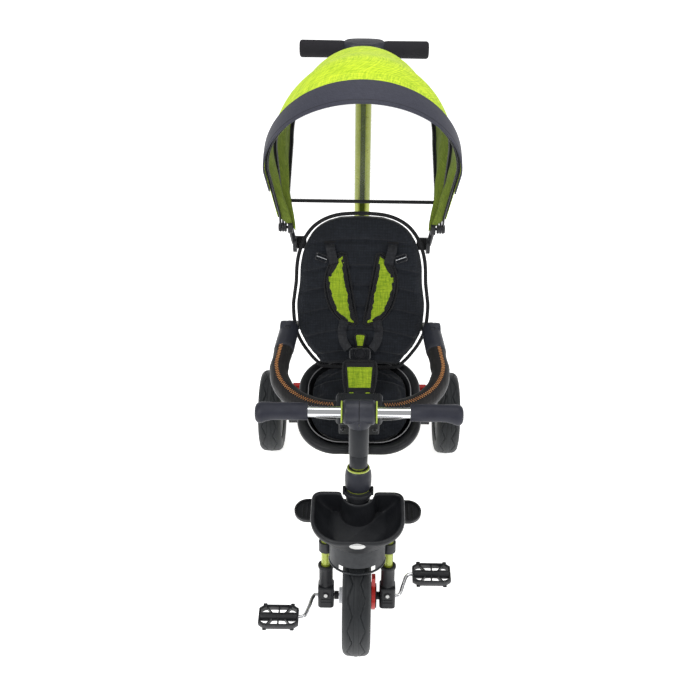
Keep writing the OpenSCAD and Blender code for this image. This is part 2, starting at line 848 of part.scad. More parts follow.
module seat_shell() {
  color("#1c2026") difference() {
    union() {
      on_seat() difference() {
        hull() {
          translate([0, 0, -1]) linear_extrude(1) seat_outline(seat_w, seat_l, seat_r);
          translate([0, 0, -bowl_h]) linear_extrude(1) seat_outline(seat_w - 70, seat_l - 70, seat_r - 20);
        }
        hull() {
          translate([0, 0, 0]) linear_extrude(1)
            seat_outline(seat_w - 4 * wall, seat_l - 4 * wall, seat_r - 2 * wall);
          translate([0, 0, -bowl_h + wall]) linear_extrude(1)
            seat_outline(seat_w - 80, seat_l - 80, seat_r - 26);
        }
      }
      difference() {
        from_axle() translate([0, swivel_y, table_z]) cylinder(h = 20, d = 110);
        on_seat() translate([-200, -200, -bowl_h + 1]) cube(400);
      }
      // upright arms that carry the guard rail
      from_axle() both_sides() difference() {
        union() {
          translate([arm_x, elbow_y - 16, seat_z - 8]) cube([arm_t, 32, guard_z - seat_z + 8]);
          translate([0, elbow_y, guard_z]) x_cylinder(arm_x, arm_t, 36);
          translate([seat_w / 2 - 40, elbow_y - 50, seat_z - 8]) cube([arm_x + arm_t - seat_w / 2 + 40, 66, 10]);
        }
        translate([0, elbow_y, guard_z]) x_cylinder(arm_x - 1, arm_t + 2, 10 + 2 * fit);
      }
      // plate that carries the back
      on_back() x_box(140, back_t + back_shell_t - 12, back_t + back_shell_t - 4, -24, 90);
      // seat of the guard rail's post
      from_axle() x_box(96, guard_y + 2, guard_y + 24, seat_z - 38, guard_z - 125 - gap);
    }
    on_seat() translate([0, 0, -bowl_h + wall]) linear_extrude(200)
      seat_outline(seat_w - 82, seat_l - 82, seat_r - 28);
  }
}

module seat_cushion() {
  color("#16202a") difference() {
    on_seat() hull() {
      translate([0, 0, 4]) linear_extrude(4) seat_outline(seat_w - 36, seat_l - 44, seat_r - 18);
      translate([0, 0, -bowl_h + wall + gap]) linear_extrude(4)
        seat_outline(seat_w - 96, seat_l - 96, seat_r - 34);
    }
    on_back() translate([-200, -14, -100]) cube([400, 200, 300]);
    from_axle() x_box(110, 0, guard_y + 26, 0, 1000);
  }
}

module back_cushion() {
  color("#16202a") on_back() translate([0, back_t - 12, 0]) rotate([90, 0, 0])
    linear_extrude(back_t) back_outline(back_w, back_h);
}

module back_shell() {
  color("#1c2026") on_back() translate([0, back_t + back_shell_t - 12.1, 12]) rotate([90, 0, 0])
    linear_extrude(back_shell_t - 0.1) back_outline(back_w - 50, back_h - 40);
}

module shoulder_pads() {
  color("yellowgreen") on_back() both_sides() translate([0, -12 - gap, 0]) rotate([90, 0, 0])
    linear_extrude(14) hull() {
      translate([44, 262]) circle(r = 8, $fn = 24);
      translate([62, 208]) circle(r = 22, $fn = 32);
      translate([52, 165]) circle(r = 22, $fn = 32);
      translate([22, 112]) circle(r = 9, $fn = 24);
    }
}

module crotch_pad() {
  color("yellowgreen") on_seat() hull() {
    x_box(44, -20, -8, 8 + gap, 20);
    x_box(64, 46, 60, 44, 60);
  }
}

module buckle() {
  color("#1c1e22") on_back() difference() {
    x_box(50, -38, -12 - gap, 24, 62);
    translate([0, -30, 43]) rotate([90, 0, 0]) cylinder(h = 20, d = 20 + 2 * gap);
  }
}

module buckle_button() {
  color("#33363c") on_back() translate([0, -34 + 0.5, 43]) rotate([90, 0, 0]) cylinder(h = 6, d = 20);
}

// ---- Guard rail ----

// Where the rail's straight sides run, a little closer together towards the back
function side_x(y) = guard_w / 2 - 0.1 * (y - guard_y - guard_r);

module guard_elbows() {
  cheek_x = arm_x + arm_t + gap;
  end_y = guard_y + guard_r;
  color("#3c3f46") from_axle() both_sides() {
    translate([0, elbow_y, guard_z]) {
      x_cylinder(cheek_x, 8, 36);
      x_cylinder(arm_x + 1, arm_t + 4, 10);
    }
    translate([cheek_x, elbow_y - 62, guard_z - 16]) cube([8, 62, 32]);
    difference() {
      rod([side_x(end_y + 60), end_y + 60, guard_z], [side_x(elbow_y - 20), elbow_y - 20, guard_z], guard_d - 2);
      translate([arm_x - 20, elbow_y - 19, guard_z - 50]) cube([60, 60, 100]);
    }
  }
}

module guard_bar() {
  mid_y = guard_y + guard_r;
  mid_x = guard_w / 2 - guard_r;
  color("#33281f") from_axle() translate([0, 0, guard_z]) {
    rod([-mid_x, guard_y, 0], [mid_x, guard_y, 0], guard_d);
    both_sides() {
      translate([mid_x, mid_y, 0]) rotate([0, 0, -90])
        rotate_extrude(angle = 90, $fn = 96) translate([guard_r, 0]) circle(d = guard_d);
      rod([guard_w / 2, mid_y, 0], [side_x(mid_y + 60), mid_y + 60, 0], guard_d);
      // raised seams of the cover where its lengths are sewn together
      translate([0, guard_y, 0]) x_cylinder(mid_x - 2, 4, guard_d + 1);
      translate([guard_w / 2, mid_y - 2, 0]) rotate([-90, 0, 0]) cylinder(h = 4, d = guard_d + 1);
    }
  }
}

module guard_post() {
  color("#26272c") from_axle() difference() {
    union() {
      x_box(post_w, guard_y - 26, guard_y + 30, guard_z - 24, guard_z + 26);
      x_box(post_w - 6, guard_y + 2, guard_y + 24, guard_z - 125, guard_z);
    }
    rod([-100, guard_y, guard_z], [100, guard_y, guard_z], guard_d);
  }
}

// ---- Canopy ----

module canopy_brackets() {
  stack = 3 * eye_pitch + gap;
  side_x = back_w / 2 - 12;
  color("#1c1e22") {
    on_back() both_sides() {
      x_cylinder_at([side_x, 6, 286], 8, 36);
      difference() {
        translate([side_x - 20, back_t - 12, 272]) cube([28, 8, 28]);
        translate([0, back_t + back_shell_t - 12, 12]) rotate([90, 0, 0])
          linear_extrude(back_shell_t) back_outline(back_w - 50, back_h - 40);
      }
      translate([side_x, 0, 272]) cube([8, back_t - 4, 28]);
    }
    from_axle() both_sides() {
      rod([side_x + 6, hinge_y + 6 * cos(back_lean) + 290 * sin(back_lean),
        hinge_z - 6 * sin(back_lean) + 290 * cos(back_lean)], [pin_x - 5, pivot_y, pivot_z], 12);
      translate([0, pivot_y, pivot_z]) {
        x_cylinder(pin_x - 10, 10, 26);
        x_cylinder(pin_x - 1, stack + 5, 6);
        x_cylinder(pin_x + stack, 4, 18);
      }
    }
  }
}

module canopy_rear_hoop() {
  color("#1c1e22") on_hoop(-rear_lean) {
    hoop(0);
    both_sides() rod([0, 0, 58], [hoop_r - 14, 0, 58], 4);
  }
}

module canopy_mid_hoop() {
  color("#1c1e22") on_hoop(mid_lean) hoop(1);
}

module canopy_front_hoop() {
  color("#1c1e22") on_hoop(front_lean) hoop(2);
}

// Cloth over the hoops, with a flat mesh window behind the rear hoop
module canopy_cover() {
  inset = (hoop_rise - cover_foot) * leg_slope;
  color("#d8e23c") {
    on_hoop(-rear_lean) rotate([180, 0, 0]) rotate([0, 90, 0])
      rotate_extrude(angle = front_lean + rear_lean + 1, $fn = 96)
        arch_band(cover_r - cover_t, cover_r, cover_foot);
    on_hoop(-rear_lean) translate([0, hoop_d / 2 + gap + 1.5, 0]) rotate([90, 0, 0]) linear_extrude(1.5)
      intersection() {
        union() {
          translate([0, hoop_rise]) circle(r = cover_r, $fn = 90);
          polygon([[-cover_r, hoop_rise], [cover_r, hoop_rise],
            [cover_r - inset, cover_foot], [inset - cover_r, cover_foot]]);
        }
        translate([-400, cover_foot]) square([800, 800]);
      }
  }
}

module canopy_brim() {
  span = brim_w / (hoop_rise + cover_r) * 180 / PI;
  color("#51536a") on_hoop(front_lean + 2 - span) rotate([180, 0, 0]) rotate([0, 90, 0])
    rotate_extrude(angle = span, $fn = 96) arch_band(cover_r + 0.4, cover_r + 2.4, 120);
}

main_frame();
head_bushes();
head_collar();
rear_axle();
brake_housings();
footrest_bracket();
seat_base();
push_bar_lower();
push_clamp();
push_button();
push_bar_upper();
handle_hub();
handle_tube();
handle_grips();
fork();
fork_sleeves();
fork_ends();
screw_caps();
fender();
basket();
badge();
stem_cover();
handlebar();
clamp_left();
clamp_right();
clamp_rings();
bar_grips();
front_tyre();
front_rim();
clutch_housing();
clutch_lever();
crank();
pedal_left();
pedal_right();
rear_tyre_left();
rear_tyre_right();
rear_rim_left();
rear_rim_right();
brake_pedal_left();
brake_pedal_right();
footrest_left();
footrest_right();
seat_shell();
seat_turntable();
seat_cushion();
back_shell();
back_cushion();
shoulder_pads();
crotch_pad();
buckle();
buckle_button();
guard_elbows();
guard_bar();
guard_post();
canopy_brackets();
canopy_rear_hoop();
canopy_mid_hoop();
canopy_front_hoop();
canopy_cover();
canopy_brim();
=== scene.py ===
import json
import math

import bmesh
import bpy
from mathutils import Matrix, Vector, noise
from mathutils.bvhtree import BVHTree


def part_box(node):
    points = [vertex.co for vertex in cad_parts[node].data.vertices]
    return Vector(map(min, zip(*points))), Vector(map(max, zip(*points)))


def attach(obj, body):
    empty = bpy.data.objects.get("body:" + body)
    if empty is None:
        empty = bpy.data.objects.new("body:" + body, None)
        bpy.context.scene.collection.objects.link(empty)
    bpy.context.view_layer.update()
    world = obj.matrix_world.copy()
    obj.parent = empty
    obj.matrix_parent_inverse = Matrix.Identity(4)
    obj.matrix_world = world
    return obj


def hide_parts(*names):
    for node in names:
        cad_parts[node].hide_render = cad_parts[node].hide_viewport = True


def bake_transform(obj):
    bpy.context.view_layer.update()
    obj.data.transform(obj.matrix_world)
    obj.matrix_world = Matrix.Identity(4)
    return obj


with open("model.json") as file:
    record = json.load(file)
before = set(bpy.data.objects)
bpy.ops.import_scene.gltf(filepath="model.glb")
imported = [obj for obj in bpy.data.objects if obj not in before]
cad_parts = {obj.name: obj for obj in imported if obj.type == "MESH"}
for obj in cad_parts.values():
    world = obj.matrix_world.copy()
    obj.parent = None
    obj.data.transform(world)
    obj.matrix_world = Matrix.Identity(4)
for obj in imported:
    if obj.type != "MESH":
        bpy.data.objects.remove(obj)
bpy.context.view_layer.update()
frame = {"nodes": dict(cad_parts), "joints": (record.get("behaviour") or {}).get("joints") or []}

scene = bpy.context.scene
print("frame loaded")

# Landmarks, all from the frame's own joints and boxes
joints = {joint["name"]: joint for joint in frame["joints"]}


def jointPlace(name):
    return Vector(joints[name]["pos_m"])


def jointAxis(name):
    return Vector(joints[name]["axis"]).normalized()


def placeOn(origin, up):
    # A place to build in: Z along up, X across the tricycle
    up = Vector(up).normalized()
    across = Vector((1, 0, 0))
    place = Matrix((across, up.cross(across), up)).transposed().to_4x4()
    place.translation = origin
    return place


def boxMid(name):
    low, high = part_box(name)
    return (low + high) / 2


def boxSize(name):
    low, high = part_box(name)
    return high - low


frontAxle = jointPlace("steer")
rearAxle = jointPlace("rear_right_spin")
column = placeOn(frontAxle, jointAxis("steer"))
swivel = jointPlace("seat_turn")
backOut = jointAxis("buckle_press")  # points out of the rear of the back
backUp = Vector((1, 0, 0)).cross(backOut)
back = placeOn(swivel + Vector((0, 0.055, 0.086)), backUp)
seatPan = placeOn(swivel + Vector((0, -0.031, 0.05)),
                  (0, -math.sin(math.radians(9)), math.cos(math.radians(9))))
railHinge = jointPlace("guard_lift")
hoopPivot = jointPlace("canopy_fold")
pushTop = placeOn(boxMid("handle_tube"), jointAxis("push_bar_slide"))
alongX = Matrix.Rotation(math.pi / 2, 4, "Y")


# Shapes that repeat
def addObject(name, points, faces, finish, smoothAngle=40, uvs=None):
    mesh = bpy.data.meshes.new(name)
    mesh.from_pydata([tuple(p) for p in points], [], faces)
    if uvs:
        layer = mesh.uv_layers.new(name="weave")
        for loop in mesh.loops:
            layer.data[loop.index].uv = uvs[loop.vertex_index]
    work = bmesh.new()
    work.from_mesh(mesh)
    if not uvs:
        bmesh.ops.remove_doubles(work, verts=work.verts, dist=1e-6)
    bmesh.ops.recalc_face_normals(work, faces=work.faces)
    work.to_mesh(mesh)
    work.free()
    mesh.materials.append(finish)
    mesh.shade_smooth()
    mesh.set_sharp_from_angle(angle=math.radians(smoothAngle))
    obj = bpy.data.objects.new(name, mesh)
    scene.collection.objects.link(obj)
    return obj


def loft(name, rings, finish, closedPath=False, caps=True, smoothAngle=40):
    count = len(rings[0])
    points = [p for ring in rings for p in ring]
    faces = []
    for i in range(len(rings) if closedPath else len(rings) - 1):
        j = (i + 1) % len(rings)
        for k in range(count):
            n = (k + 1) % count
            faces.append((i * count + k, i * count + n, j * count + n, j * count + k))
    if caps and not closedPath:
        faces.append(tuple(range(count)))
        faces.append(tuple((len(rings) - 1) * count + k for k in range(count)))
    return addObject(name, points, faces, finish, smoothAngle)


def clothGrid(name, rows, finish):
    # Open cloth through rows of points, with a weave map in metres
    count = len(rows[0])
    points = [p for row in rows for p in row]
    middle = count // 2
    down = [0.0]
    for i in range(1, len(rows)):
        down.append(down[-1] + (rows[i][middle] - rows[i - 1][middle]).length)
    uvs = []
    for i, row in enumerate(rows):
        across = 0.0
        for k, point in enumerate(row):
            across += (point - row[k - 1]).length if k else 0.0
            uvs.append((across, down[i]))
    faces = []
    for i in range(len(rows) - 1):
        for k in range(count - 1):
            a = i * count + k
            faces.append((a, a + 1, a + count + 1, a + count))
    return addObject(name, points, faces, finish, 80, uvs)


def lathe(name, profile, place, finish, steps=64, smoothAngle=40):
    # profile is a list of (distance along Z, radius)
    rings = []
    for along, radius in profile:
        ring = []
        for k in range(steps):
            turn = 2 * math.pi * k / steps
            ring.append(place @ Vector((radius * math.cos(turn), radius * math.sin(turn), along)))
        rings.append(ring)
    return loft(name, rings, finish, smoothAngle=smoothAngle)


def roundedProfile(start, end, radius, edge, steps=5):
    # Straight barrel between start and end with rounded rims
    rim = [(edge * (1 - math.cos(math.pi / 2 * k / steps)),
            radius - edge * (1 - math.sin(math.pi / 2 * k / steps))) for k in range(steps + 1)]
    profile = [(start, 0.0)] + [(start + along, height) for along, height in rim]
    profile += [(end - along, height) for along, height in reversed(rim)]
    profile.append((end, 0.0))
    return profile


def circle(radius, sides=16, flat=1.0):
    return [(radius * math.cos(2 * math.pi * k / sides),
             radius * flat * math.sin(2 * math.pi * k / sides))
            for k in range(sides)]


def sweep(name, path, section, finish, up=(0, 0, 1), closed=False, caps=True, smoothAngle=40):
    # section is a list of (side, rise) or a function of the share along the path
    rings = []
    last = len(path) - 1
    for i, here in enumerate(path):
        before = path[i - 1] if i or closed else here
        after = path[(i + 1) % len(path)] if i < last or closed else here
        along = (after - before).normalized()
        side = along.cross(Vector(up)).normalized()
        rise = side.cross(along).normalized()
        shape = section(i / last) if callable(section) else section
        rings.append([here + side * a + rise * b for a, b in shape])
    return loft(name, rings, finish, closed, caps, smoothAngle)


def smoothPath(points, steps=8, closed=False):
    points = [Vector(p) for p in points]
    count = len(points)
    path = []
    for i in range(count if closed else count - 1):
        if closed:
            a, b, c, d = (points[(i + k) % count] for k in (-1, 0, 1, 2))
        else:
            a, b, c, d = (points[min(max(i + k, 0), count - 1)] for k in (-1, 0, 1, 2))
        for k in range(steps):
            t = k / steps
            path.append(0.5 * (2 * b + (c - a) * t + (2 * a - 5 * b + 4 * c - d) * t * t
                               + (3 * b - a - 3 * c + d) * t ** 3))
    if not closed:
        path.append(points[-1])
    return path


def plate(name, outline, low, high, place, finish, edge=0.001, segments=3):
    # Flat piece with the given outline, between two heights, with rounded edges
    count = len(outline)
    points = [place @ Vector((x, y, z)) for z in (low, high) for x, y in outline]
    faces = [tuple(range(count)), tuple(range(count, 2 * count))]
    for k in range(count):
        n = (k + 1) % count
        faces.append((k, n, count + n, count + k))
    obj = addObject(name, points, faces, finish, 35)
    if edge:
        softEdges(obj, edge, segments)
    return obj


def softEdges(obj, width, segments=3):
    edges = obj.modifiers.new("edges", "BEVEL")
    edges.width = width
    edges.segments = segments
    edges.limit_method = "ANGLE"
    edges.angle_limit = math.radians(35)
    edges.harden_normals = True
    return obj


def roundedBlock(name, size, place, finish, corner=0.006, edge=0.002):
    # Block with rounded upright corners and soft edges, centred on its place
    outline = []
    for cornerX, cornerY, start in ((1, 1, 0), (-1, 1, 90), (-1, -1, 180), (1, -1, 270)):
        for k in range(7):
            turn = math.radians(start + 15 * k)
            outline.append((cornerX * (size[0] / 2 - corner) + corner * math.cos(turn),
                            cornerY * (size[1] / 2 - corner) + corner * math.sin(turn)))
    return plate(name, outline, -size[2] / 2, size[2] / 2, place, finish, edge)


def screw(name, place, radius, finish):
    # Domed screw head with a cross slot, standing on the place's Z
    head = lathe(name, [(0, 0), (0, radius), (radius * 0.25, radius * 0.95),
                        (radius * 0.45, radius * 0.7),
                        (radius * 0.5, radius * 0.3), (radius * 0.5, 0)], place, finish, 24)
    for k in range(2):
        # the cross slot is filled near-black: painted shade
        turned = place @ Matrix.Rotation(k * math.pi / 2 + 0.4, 4, "Z")
        slot = roundedBlock(name + ".slot" + str(k), (radius * 1.1, radius * 0.22, radius * 0.1),
                            turned @ Matrix.Translation((0, 0, radius * 0.48)), darkRecess,
                            radius * 0.08, 0.0001)
        slot.parent = head
    return head


def bake(obj):
    # Turns the modifiers into the mesh
    bpy.context.view_layer.update()
    graph = bpy.context.evaluated_depsgraph_get()
    mesh = bpy.data.meshes.new_from_object(obj.evaluated_get(graph))
    obj.modifiers.clear()
    obj.data = mesh
    return obj


def puff(obj, look):
    # Stuffs a closed shape: even mesh, then cloth under pressure, then rounded once
    remesh = obj.modifiers.new("even", "REMESH")
    remesh.mode = "VOXEL"
    remesh.voxel_size = look["voxel"]
    bake(obj)
    rest = [v.co.copy() for v in obj.data.vertices]
    cloth = obj.modifiers.new("stuffing", "CLOTH")
    cloth.settings.use_pressure = True
    cloth.settings.uniform_pressure_force = look["pressure"]
    cloth.settings.effector_weights.gravity = 0
    cloth.settings.quality = 5
    cloth.point_cache.frame_start = 1
    cloth.point_cache.frame_end = 20
    for number in range(1, 21):
        scene.frame_set(number)
    bake(obj)
    scene.frame_set(1)
    for vertex, start in zip(obj.data.vertices, rest):
        move = vertex.co - start
        if move.length > look["swell"]:
            vertex.co = start + move.normalized() * look["swell"]
    rounded = obj.modifiers.new("rounded", "SUBSURF")
    rounded.levels = 1
    rounded.render_levels = 1
    bake(obj)
    obj.data.shade_smooth()
    print("stuffed", obj.name, len(obj.data.vertices))
    return obj


# Finishes, each from its own nodes
def startFinish(name):
    finish = bpy.data.materials.new(name)
    finish.use_nodes = True
    tree = finish.node_tree
    return finish, tree, tree.nodes["Principled BSDF"]


def addNode(tree, kind, inputs=None, **settings):
    made = tree.nodes.new(kind)
    for key, value in settings.items():
        setattr(made, key, value)
    for key, value in (inputs or {}).items():
        if isinstance(value, bpy.types.NodeSocket):
            tree.links.new(value, made.inputs[key])
        else:
            made.inputs[key].default_value = value
    return made


def position(tree, stretch=(1, 1, 1), source="Object"):
    coordinates = addNode(tree, "ShaderNodeTexCoord")
    mapping = addNode(tree, "ShaderNodeMapping",
                      {"Vector": coordinates.outputs[source], "Scale": stretch})
    return mapping.outputs["Vector"]


def speckle(tree, where, size, detail=4.0, rough=0.6):
    return addNode(tree, "ShaderNodeTexNoise",
                   {"Vector": where, "Scale": 1 / size, "Detail": detail,
                    "Roughness": rough}).outputs["Fac"]


def spread(tree, fac, low, high, fromLow=0.3, fromHigh=0.7):
    return addNode(tree, "ShaderNodeMapRange", {"Value": fac, "From Min": fromLow, "From Max": fromHigh,
                                                "To Min": low, "To Max": high}).outputs["Result"]


def between(tree, fac, first, second):
    mix = addNode(tree, "ShaderNodeMix", {"Factor": fac}, data_type="RGBA")
    for index, value in ((6, first), (7, second)):
        if isinstance(value, bpy.types.NodeSocket):
            tree.links.new(value, mix.inputs[index])
        else:
            mix.inputs[index].default_value = (*value, 1)
    return mix.outputs[2]


def relief(tree, shader, height, depth, strength=1.0):
    bump = addNode(tree, "ShaderNodeBump", {"Height": height, "Distance": depth, "Strength": strength})
    tree.links.new(bump.outputs["Normal"], shader.inputs["Normal"])
    return bump


def addSum(tree, first, second, kind="ADD"):
    return addNode(tree, "ShaderNodeMath", {0: first, 1: second}, operation=kind).outputs[0]


def wornEdges(tree, base, worn, amount):
    # Handling rubs the corners a little lighter
    where = addNode(tree, "ShaderNodeNewGeometry").outputs["Pointiness"]
    broken = addSum(tree, spread(tree, where, 0, amount, 0.52, 0.6),
                    spread(tree, speckle(tree, position(tree), 0.012), 0.2, 1), "MULTIPLY")
    return between(tree, broken, base, worn)


def mouldedPlastic(name, look):
    finish, tree, shader = startFinish(name)
    where = position(tree)
    mottle = speckle(tree, where, look.get("patch", 0.03))
    base = between(tree, spread(tree, mottle, 0, 1), look["colour"], look["shade"])
    tree.links.new(wornEdges(tree, base, look["worn"], look.get("wear", 0.35)),
                   shader.inputs["Base Color"])
    grain = speckle(tree, where, look["grain"], 6, 0.7)
    tree.links.new(spread(tree, mottle, look["rough"] - 0.05, look["rough"] + 0.07),
                   shader.inputs["Roughness"])
    shader.inputs["Specular IOR Level"].default_value = look.get("gloss", 0.32)
    shader.inputs["Coat Weight"].default_value = look.get("coat", 0.0)
    shader.inputs["Coat Roughness"].default_value = 0.12
    relief(tree, shader, grain, look["depth"])
    return finish


def powderCoat(name, look):
    finish, tree, shader = startFinish(name)
    where = position(tree)
    base = between(tree, spread(tree, speckle(tree, where, 0.05), 0, 1), look["colour"], look["shade"])
    flake = addNode(tree, "ShaderNodeTexVoronoi",
                    {"Vector": where, "Scale": 1 / look["flake"]}).outputs["Color"]
    grey = addNode(tree, "ShaderNodeRGBToBW", {"Color": flake}).outputs["Val"]
    base = between(tree, spread(tree, grey, 0, 0.22, 0.45, 0.9), base, look["flakeColour"])
    tree.links.new(base, shader.inputs["Base Color"])
    tree.links.new(spread(tree, speckle(tree, where, 0.02), look["rough"], look["rough"] + 0.12),
                   shader.inputs["Roughness"])
    shader.inputs["Metallic"].default_value = look["metal"]
    shader.inputs["Coat Weight"].default_value = 0.6
    shader.inputs["Coat Roughness"].default_value = 0.08
    relief(tree, shader, speckle(tree, where, 0.0016, 2), 0.00006)
    return finish


def brightMetal(name, look):
    finish, tree, shader = startFinish(name)
    where = position(tree)
    smudge = speckle(tree, where, 0.02)
    scratch = speckle(tree, position(tree, look["brushed"]), 0.002, 3)
    tree.links.new(between(tree, spread(tree, smudge, 0, 1), look["colour"], look["shade"]),
                   shader.inputs["Base Color"])
    tree.links.new(addSum(tree, spread(tree, smudge, look["rough"], look["rough"] + 0.06),
                          spread(tree, scratch, 0, 0.08)), shader.inputs["Roughness"])
    shader.inputs["Metallic"].default_value = 1.0
    relief(tree, shader, scratch, 0.00002)
    return finish


def wovenCloth(name, look, source="Object"):
    # Plain weave with heathered yarns; threads are counted in metres
    finish, tree, shader = startFinish(name)
    where = position(tree, source=source)
    ends = addNode(tree, "ShaderNodeTexWave",
                   {"Vector": where, "Scale": look["threads"] / 20, "Distortion": 1.2,
                                               "Detail": 1.0, "Detail Scale": 2.0}, bands_direction="X")
    picks = addNode(tree, "ShaderNodeTexWave",
                    {"Vector": where, "Scale": look["threads"] / 20, "Distortion": 1.2,
                                                "Detail": 1.0, "Detail Scale": 2.0},
                    bands_direction="Y" if source == "UV" else "Z")
    weave = addSum(tree, ends.outputs["Fac"], picks.outputs["Fac"], "MULTIPLY")
    yarnA = speckle(tree, position(tree, (1, 0.12, 0.12), source), look["yarn"], 3, 0.7)
    yarnB = speckle(tree, position(tree, (0.12, 1, 1), source), look["yarn"], 3, 0.7)
    heather = addSum(tree, spread(tree, yarnA, 0, 0.5, 0.35, 0.65),
                     spread(tree, yarnB, 0, 0.5, 0.35, 0.65))
    base = between(tree, spread(tree, heather, 0, 1, 0.25, 0.8), look["colour"], look["yarnColour"])
    patch = speckle(tree, where, 0.08, 2)
    base = between(tree, spread(tree, patch, 0, look.get("fade", 0.3)), base, look["shade"])
    # the hollows between the yarns are painted darker: painted shade between the threads
    base = between(tree, spread(tree, weave, look.get("gapShade", 0.35), 0, 0.0, 0.5), base, look["shade"])
    tree.links.new(base, shader.inputs["Base Color"])
    tree.links.new(spread(tree, heather, look["rough"], look["rough"] + 0.1, 0, 1),
                   shader.inputs["Roughness"])
    shader.inputs["Sheen Weight"].default_value = look["sheen"]
    shader.inputs["Sheen Roughness"].default_value = 0.5
    shader.inputs["Specular IOR Level"].default_value = 0.25
    height = addSum(tree, weave, spread(tree, speckle(tree, where, 0.025, 3), 0,
                                        look.get("creases", 0.6)))
    relief(tree, shader, height, look["depth"])
    return finish


def windowNet(name, look):
    # Fine knitted net that lets most of the light through
    finish, tree, shader = startFinish(name)
    where = position(tree, source="UV")
    holes = addNode(tree, "ShaderNodeTexVoronoi", {"Vector": where, "Scale": 1 / look["pitch"],
                                                   "Randomness": 0.25}).outputs["Distance"]
    tree.links.new(spread(tree, holes, look["open"], look["solid"], 0.25, 0.5), shader.inputs["Alpha"])
    patch = speckle(tree, where, 0.05, 3)
    tree.links.new(between(tree, spread(tree, patch, 0, 1), look["colour"], look["shade"]),
                   shader.inputs["Base Color"])
    tree.links.new(spread(tree, patch, 0.65, 0.8), shader.inputs["Roughness"])
    shader.inputs["Sheen Weight"].default_value = 0.2
    relief(tree, shader, holes, 0.0003)
    return finish


limePaint = powderCoat("limePaint", {"colour": (0.42, 0.50, 0.045), "shade": (0.34, 0.42, 0.035),
                                     "flake": 0.0012,
                                     "flakeColour": (0.75, 0.8, 0.25), "metal": 0.25, "rough": 0.24})
limeHandle = powderCoat("limeHandle", {"colour": (0.46, 0.52, 0.05), "shade": (0.34, 0.42, 0.03),
                                       "flake": 0.0012,
                                       "flakeColour": (0.8, 0.85, 0.3), "metal": 0.35, "rough": 0.26})
chrome = brightMetal("chrome", {"colour": (0.82, 0.82, 0.83), "shade": (0.7, 0.7, 0.72), "rough": 0.05,
                                "brushed": (0.05, 1, 1)})
steel = brightMetal("steel", {"colour": (0.55, 0.56, 0.58), "shade": (0.42, 0.43, 0.45), "rough": 0.25,
                              "brushed": (0.1, 1, 1)})
blackPlastic = mouldedPlastic("blackPlastic",
                              {"colour": (0.009, 0.010, 0.012), "shade": (0.015, 0.016, 0.019),
                                               "worn": (0.09, 0.09, 0.095), "rough": 0.42,
                                               "grain": 0.0009,
                                               "depth": 0.00010})
greyPlastic = mouldedPlastic("greyPlastic",
                             {"colour": (0.030, 0.032, 0.044), "shade": (0.022, 0.024, 0.033),
                                             "worn": (0.14, 0.14, 0.16), "rough": 0.4, "grain": 0.0008,
                                             "depth": 0.00009})
hoodPlastic = mouldedPlastic("hoodPlastic",
                             {"colour": (0.012, 0.014, 0.017), "shade": (0.02, 0.022, 0.026),
                                             "worn": (0.07, 0.075, 0.08), "rough": 0.38,
                                             "grain": 0.0011,
                                             "depth": 0.00014})
blackGloss = mouldedPlastic("blackGloss",
                            {"colour": (0.01, 0.011, 0.013), "shade": (0.017, 0.018, 0.021),
                                           "worn": (0.06, 0.06, 0.065), "rough": 0.24, "grain": 0.0006,
                                           "depth": 0.00003, "coat": 0.3})
redPlastic = mouldedPlastic("redPlastic", {"colour": (0.62, 0.006, 0.004), "shade": (0.5, 0.004, 0.003),
                                           "worn": (0.8, 0.12, 0.1), "rough": 0.3, "grain": 0.0008,
                                           "depth": 0.00004, "coat": 0.4})
whitePlastic = mouldedPlastic("whitePlastic", {"colour": (0.8, 0.8, 0.78), "shade": (0.7, 0.71, 0.7),
                                               "worn": (0.9, 0.9, 0.9), "rough": 0.35, "grain": 0.0007,
                                               "depth": 0.00003})
rimPlastic = mouldedPlastic("rimPlastic", {"colour": (0.5, 0.51, 0.53), "shade": (0.4, 0.41, 0.43),
                                           "worn": (0.75, 0.75, 0.76), "rough": 0.3, "grain": 0.0009,
                                           "depth": 0.00004, "coat": 0.3})
limeRubber = mouldedPlastic("limeRubber", {"colour": (0.38, 0.5, 0.05), "shade": (0.3, 0.4, 0.04),
                                           "worn": (0.5, 0.6, 0.15), "rough": 0.55, "grain": 0.0006,
                                           "depth": 0.00006})
gripRubber = mouldedPlastic("gripRubber",
                            {"colour": (0.017, 0.018, 0.029), "shade": (0.025, 0.027, 0.040),
                                           "worn": (0.08, 0.08, 0.1), "rough": 0.5, "grain": 0.0007,
                                           "depth": 0.00012, "patch": 0.02})
foamGrip = mouldedPlastic("foamGrip", {"colour": (0.011, 0.010, 0.014), "shade": (0.018, 0.017, 0.021),
                                       "worn": (0.05, 0.05, 0.06), "rough": 0.8, "grain": 0.0013,
                                       "depth": 0.0003,
                                       "gloss": 0.3})
tyreRubber = mouldedPlastic("tyreRubber",
                            {"colour": (0.013, 0.015, 0.017), "shade": (0.022, 0.025, 0.028),
                                           "worn": (0.1, 0.105, 0.11), "rough": 0.52, "grain": 0.0012,
                                           "depth": 0.0002, "patch": 0.025})
# Near-black fill for screw slots, the clamp seam and the strap slots: painted shade inside the recesses
darkRecess = mouldedPlastic("darkRecess",
                            {"colour": (0.004, 0.004, 0.005), "shade": (0.007, 0.007, 0.008),
                                           "worn": (0.02, 0.02, 0.02), "rough": 0.7, "grain": 0.0008,
                                           "depth": 0.00005})
seatCloth = wovenCloth("seatCloth", {"colour": (0.0065, 0.0085, 0.013),
                                     "yarnColour": (0.017, 0.021, 0.029),
                                     "shade": (0.003, 0.004, 0.006), "threads": 1100, "yarn": 0.0025,
                                     "rough": 0.8, "sheen": 0.12, "depth": 0.0003, "creases": 0.8})
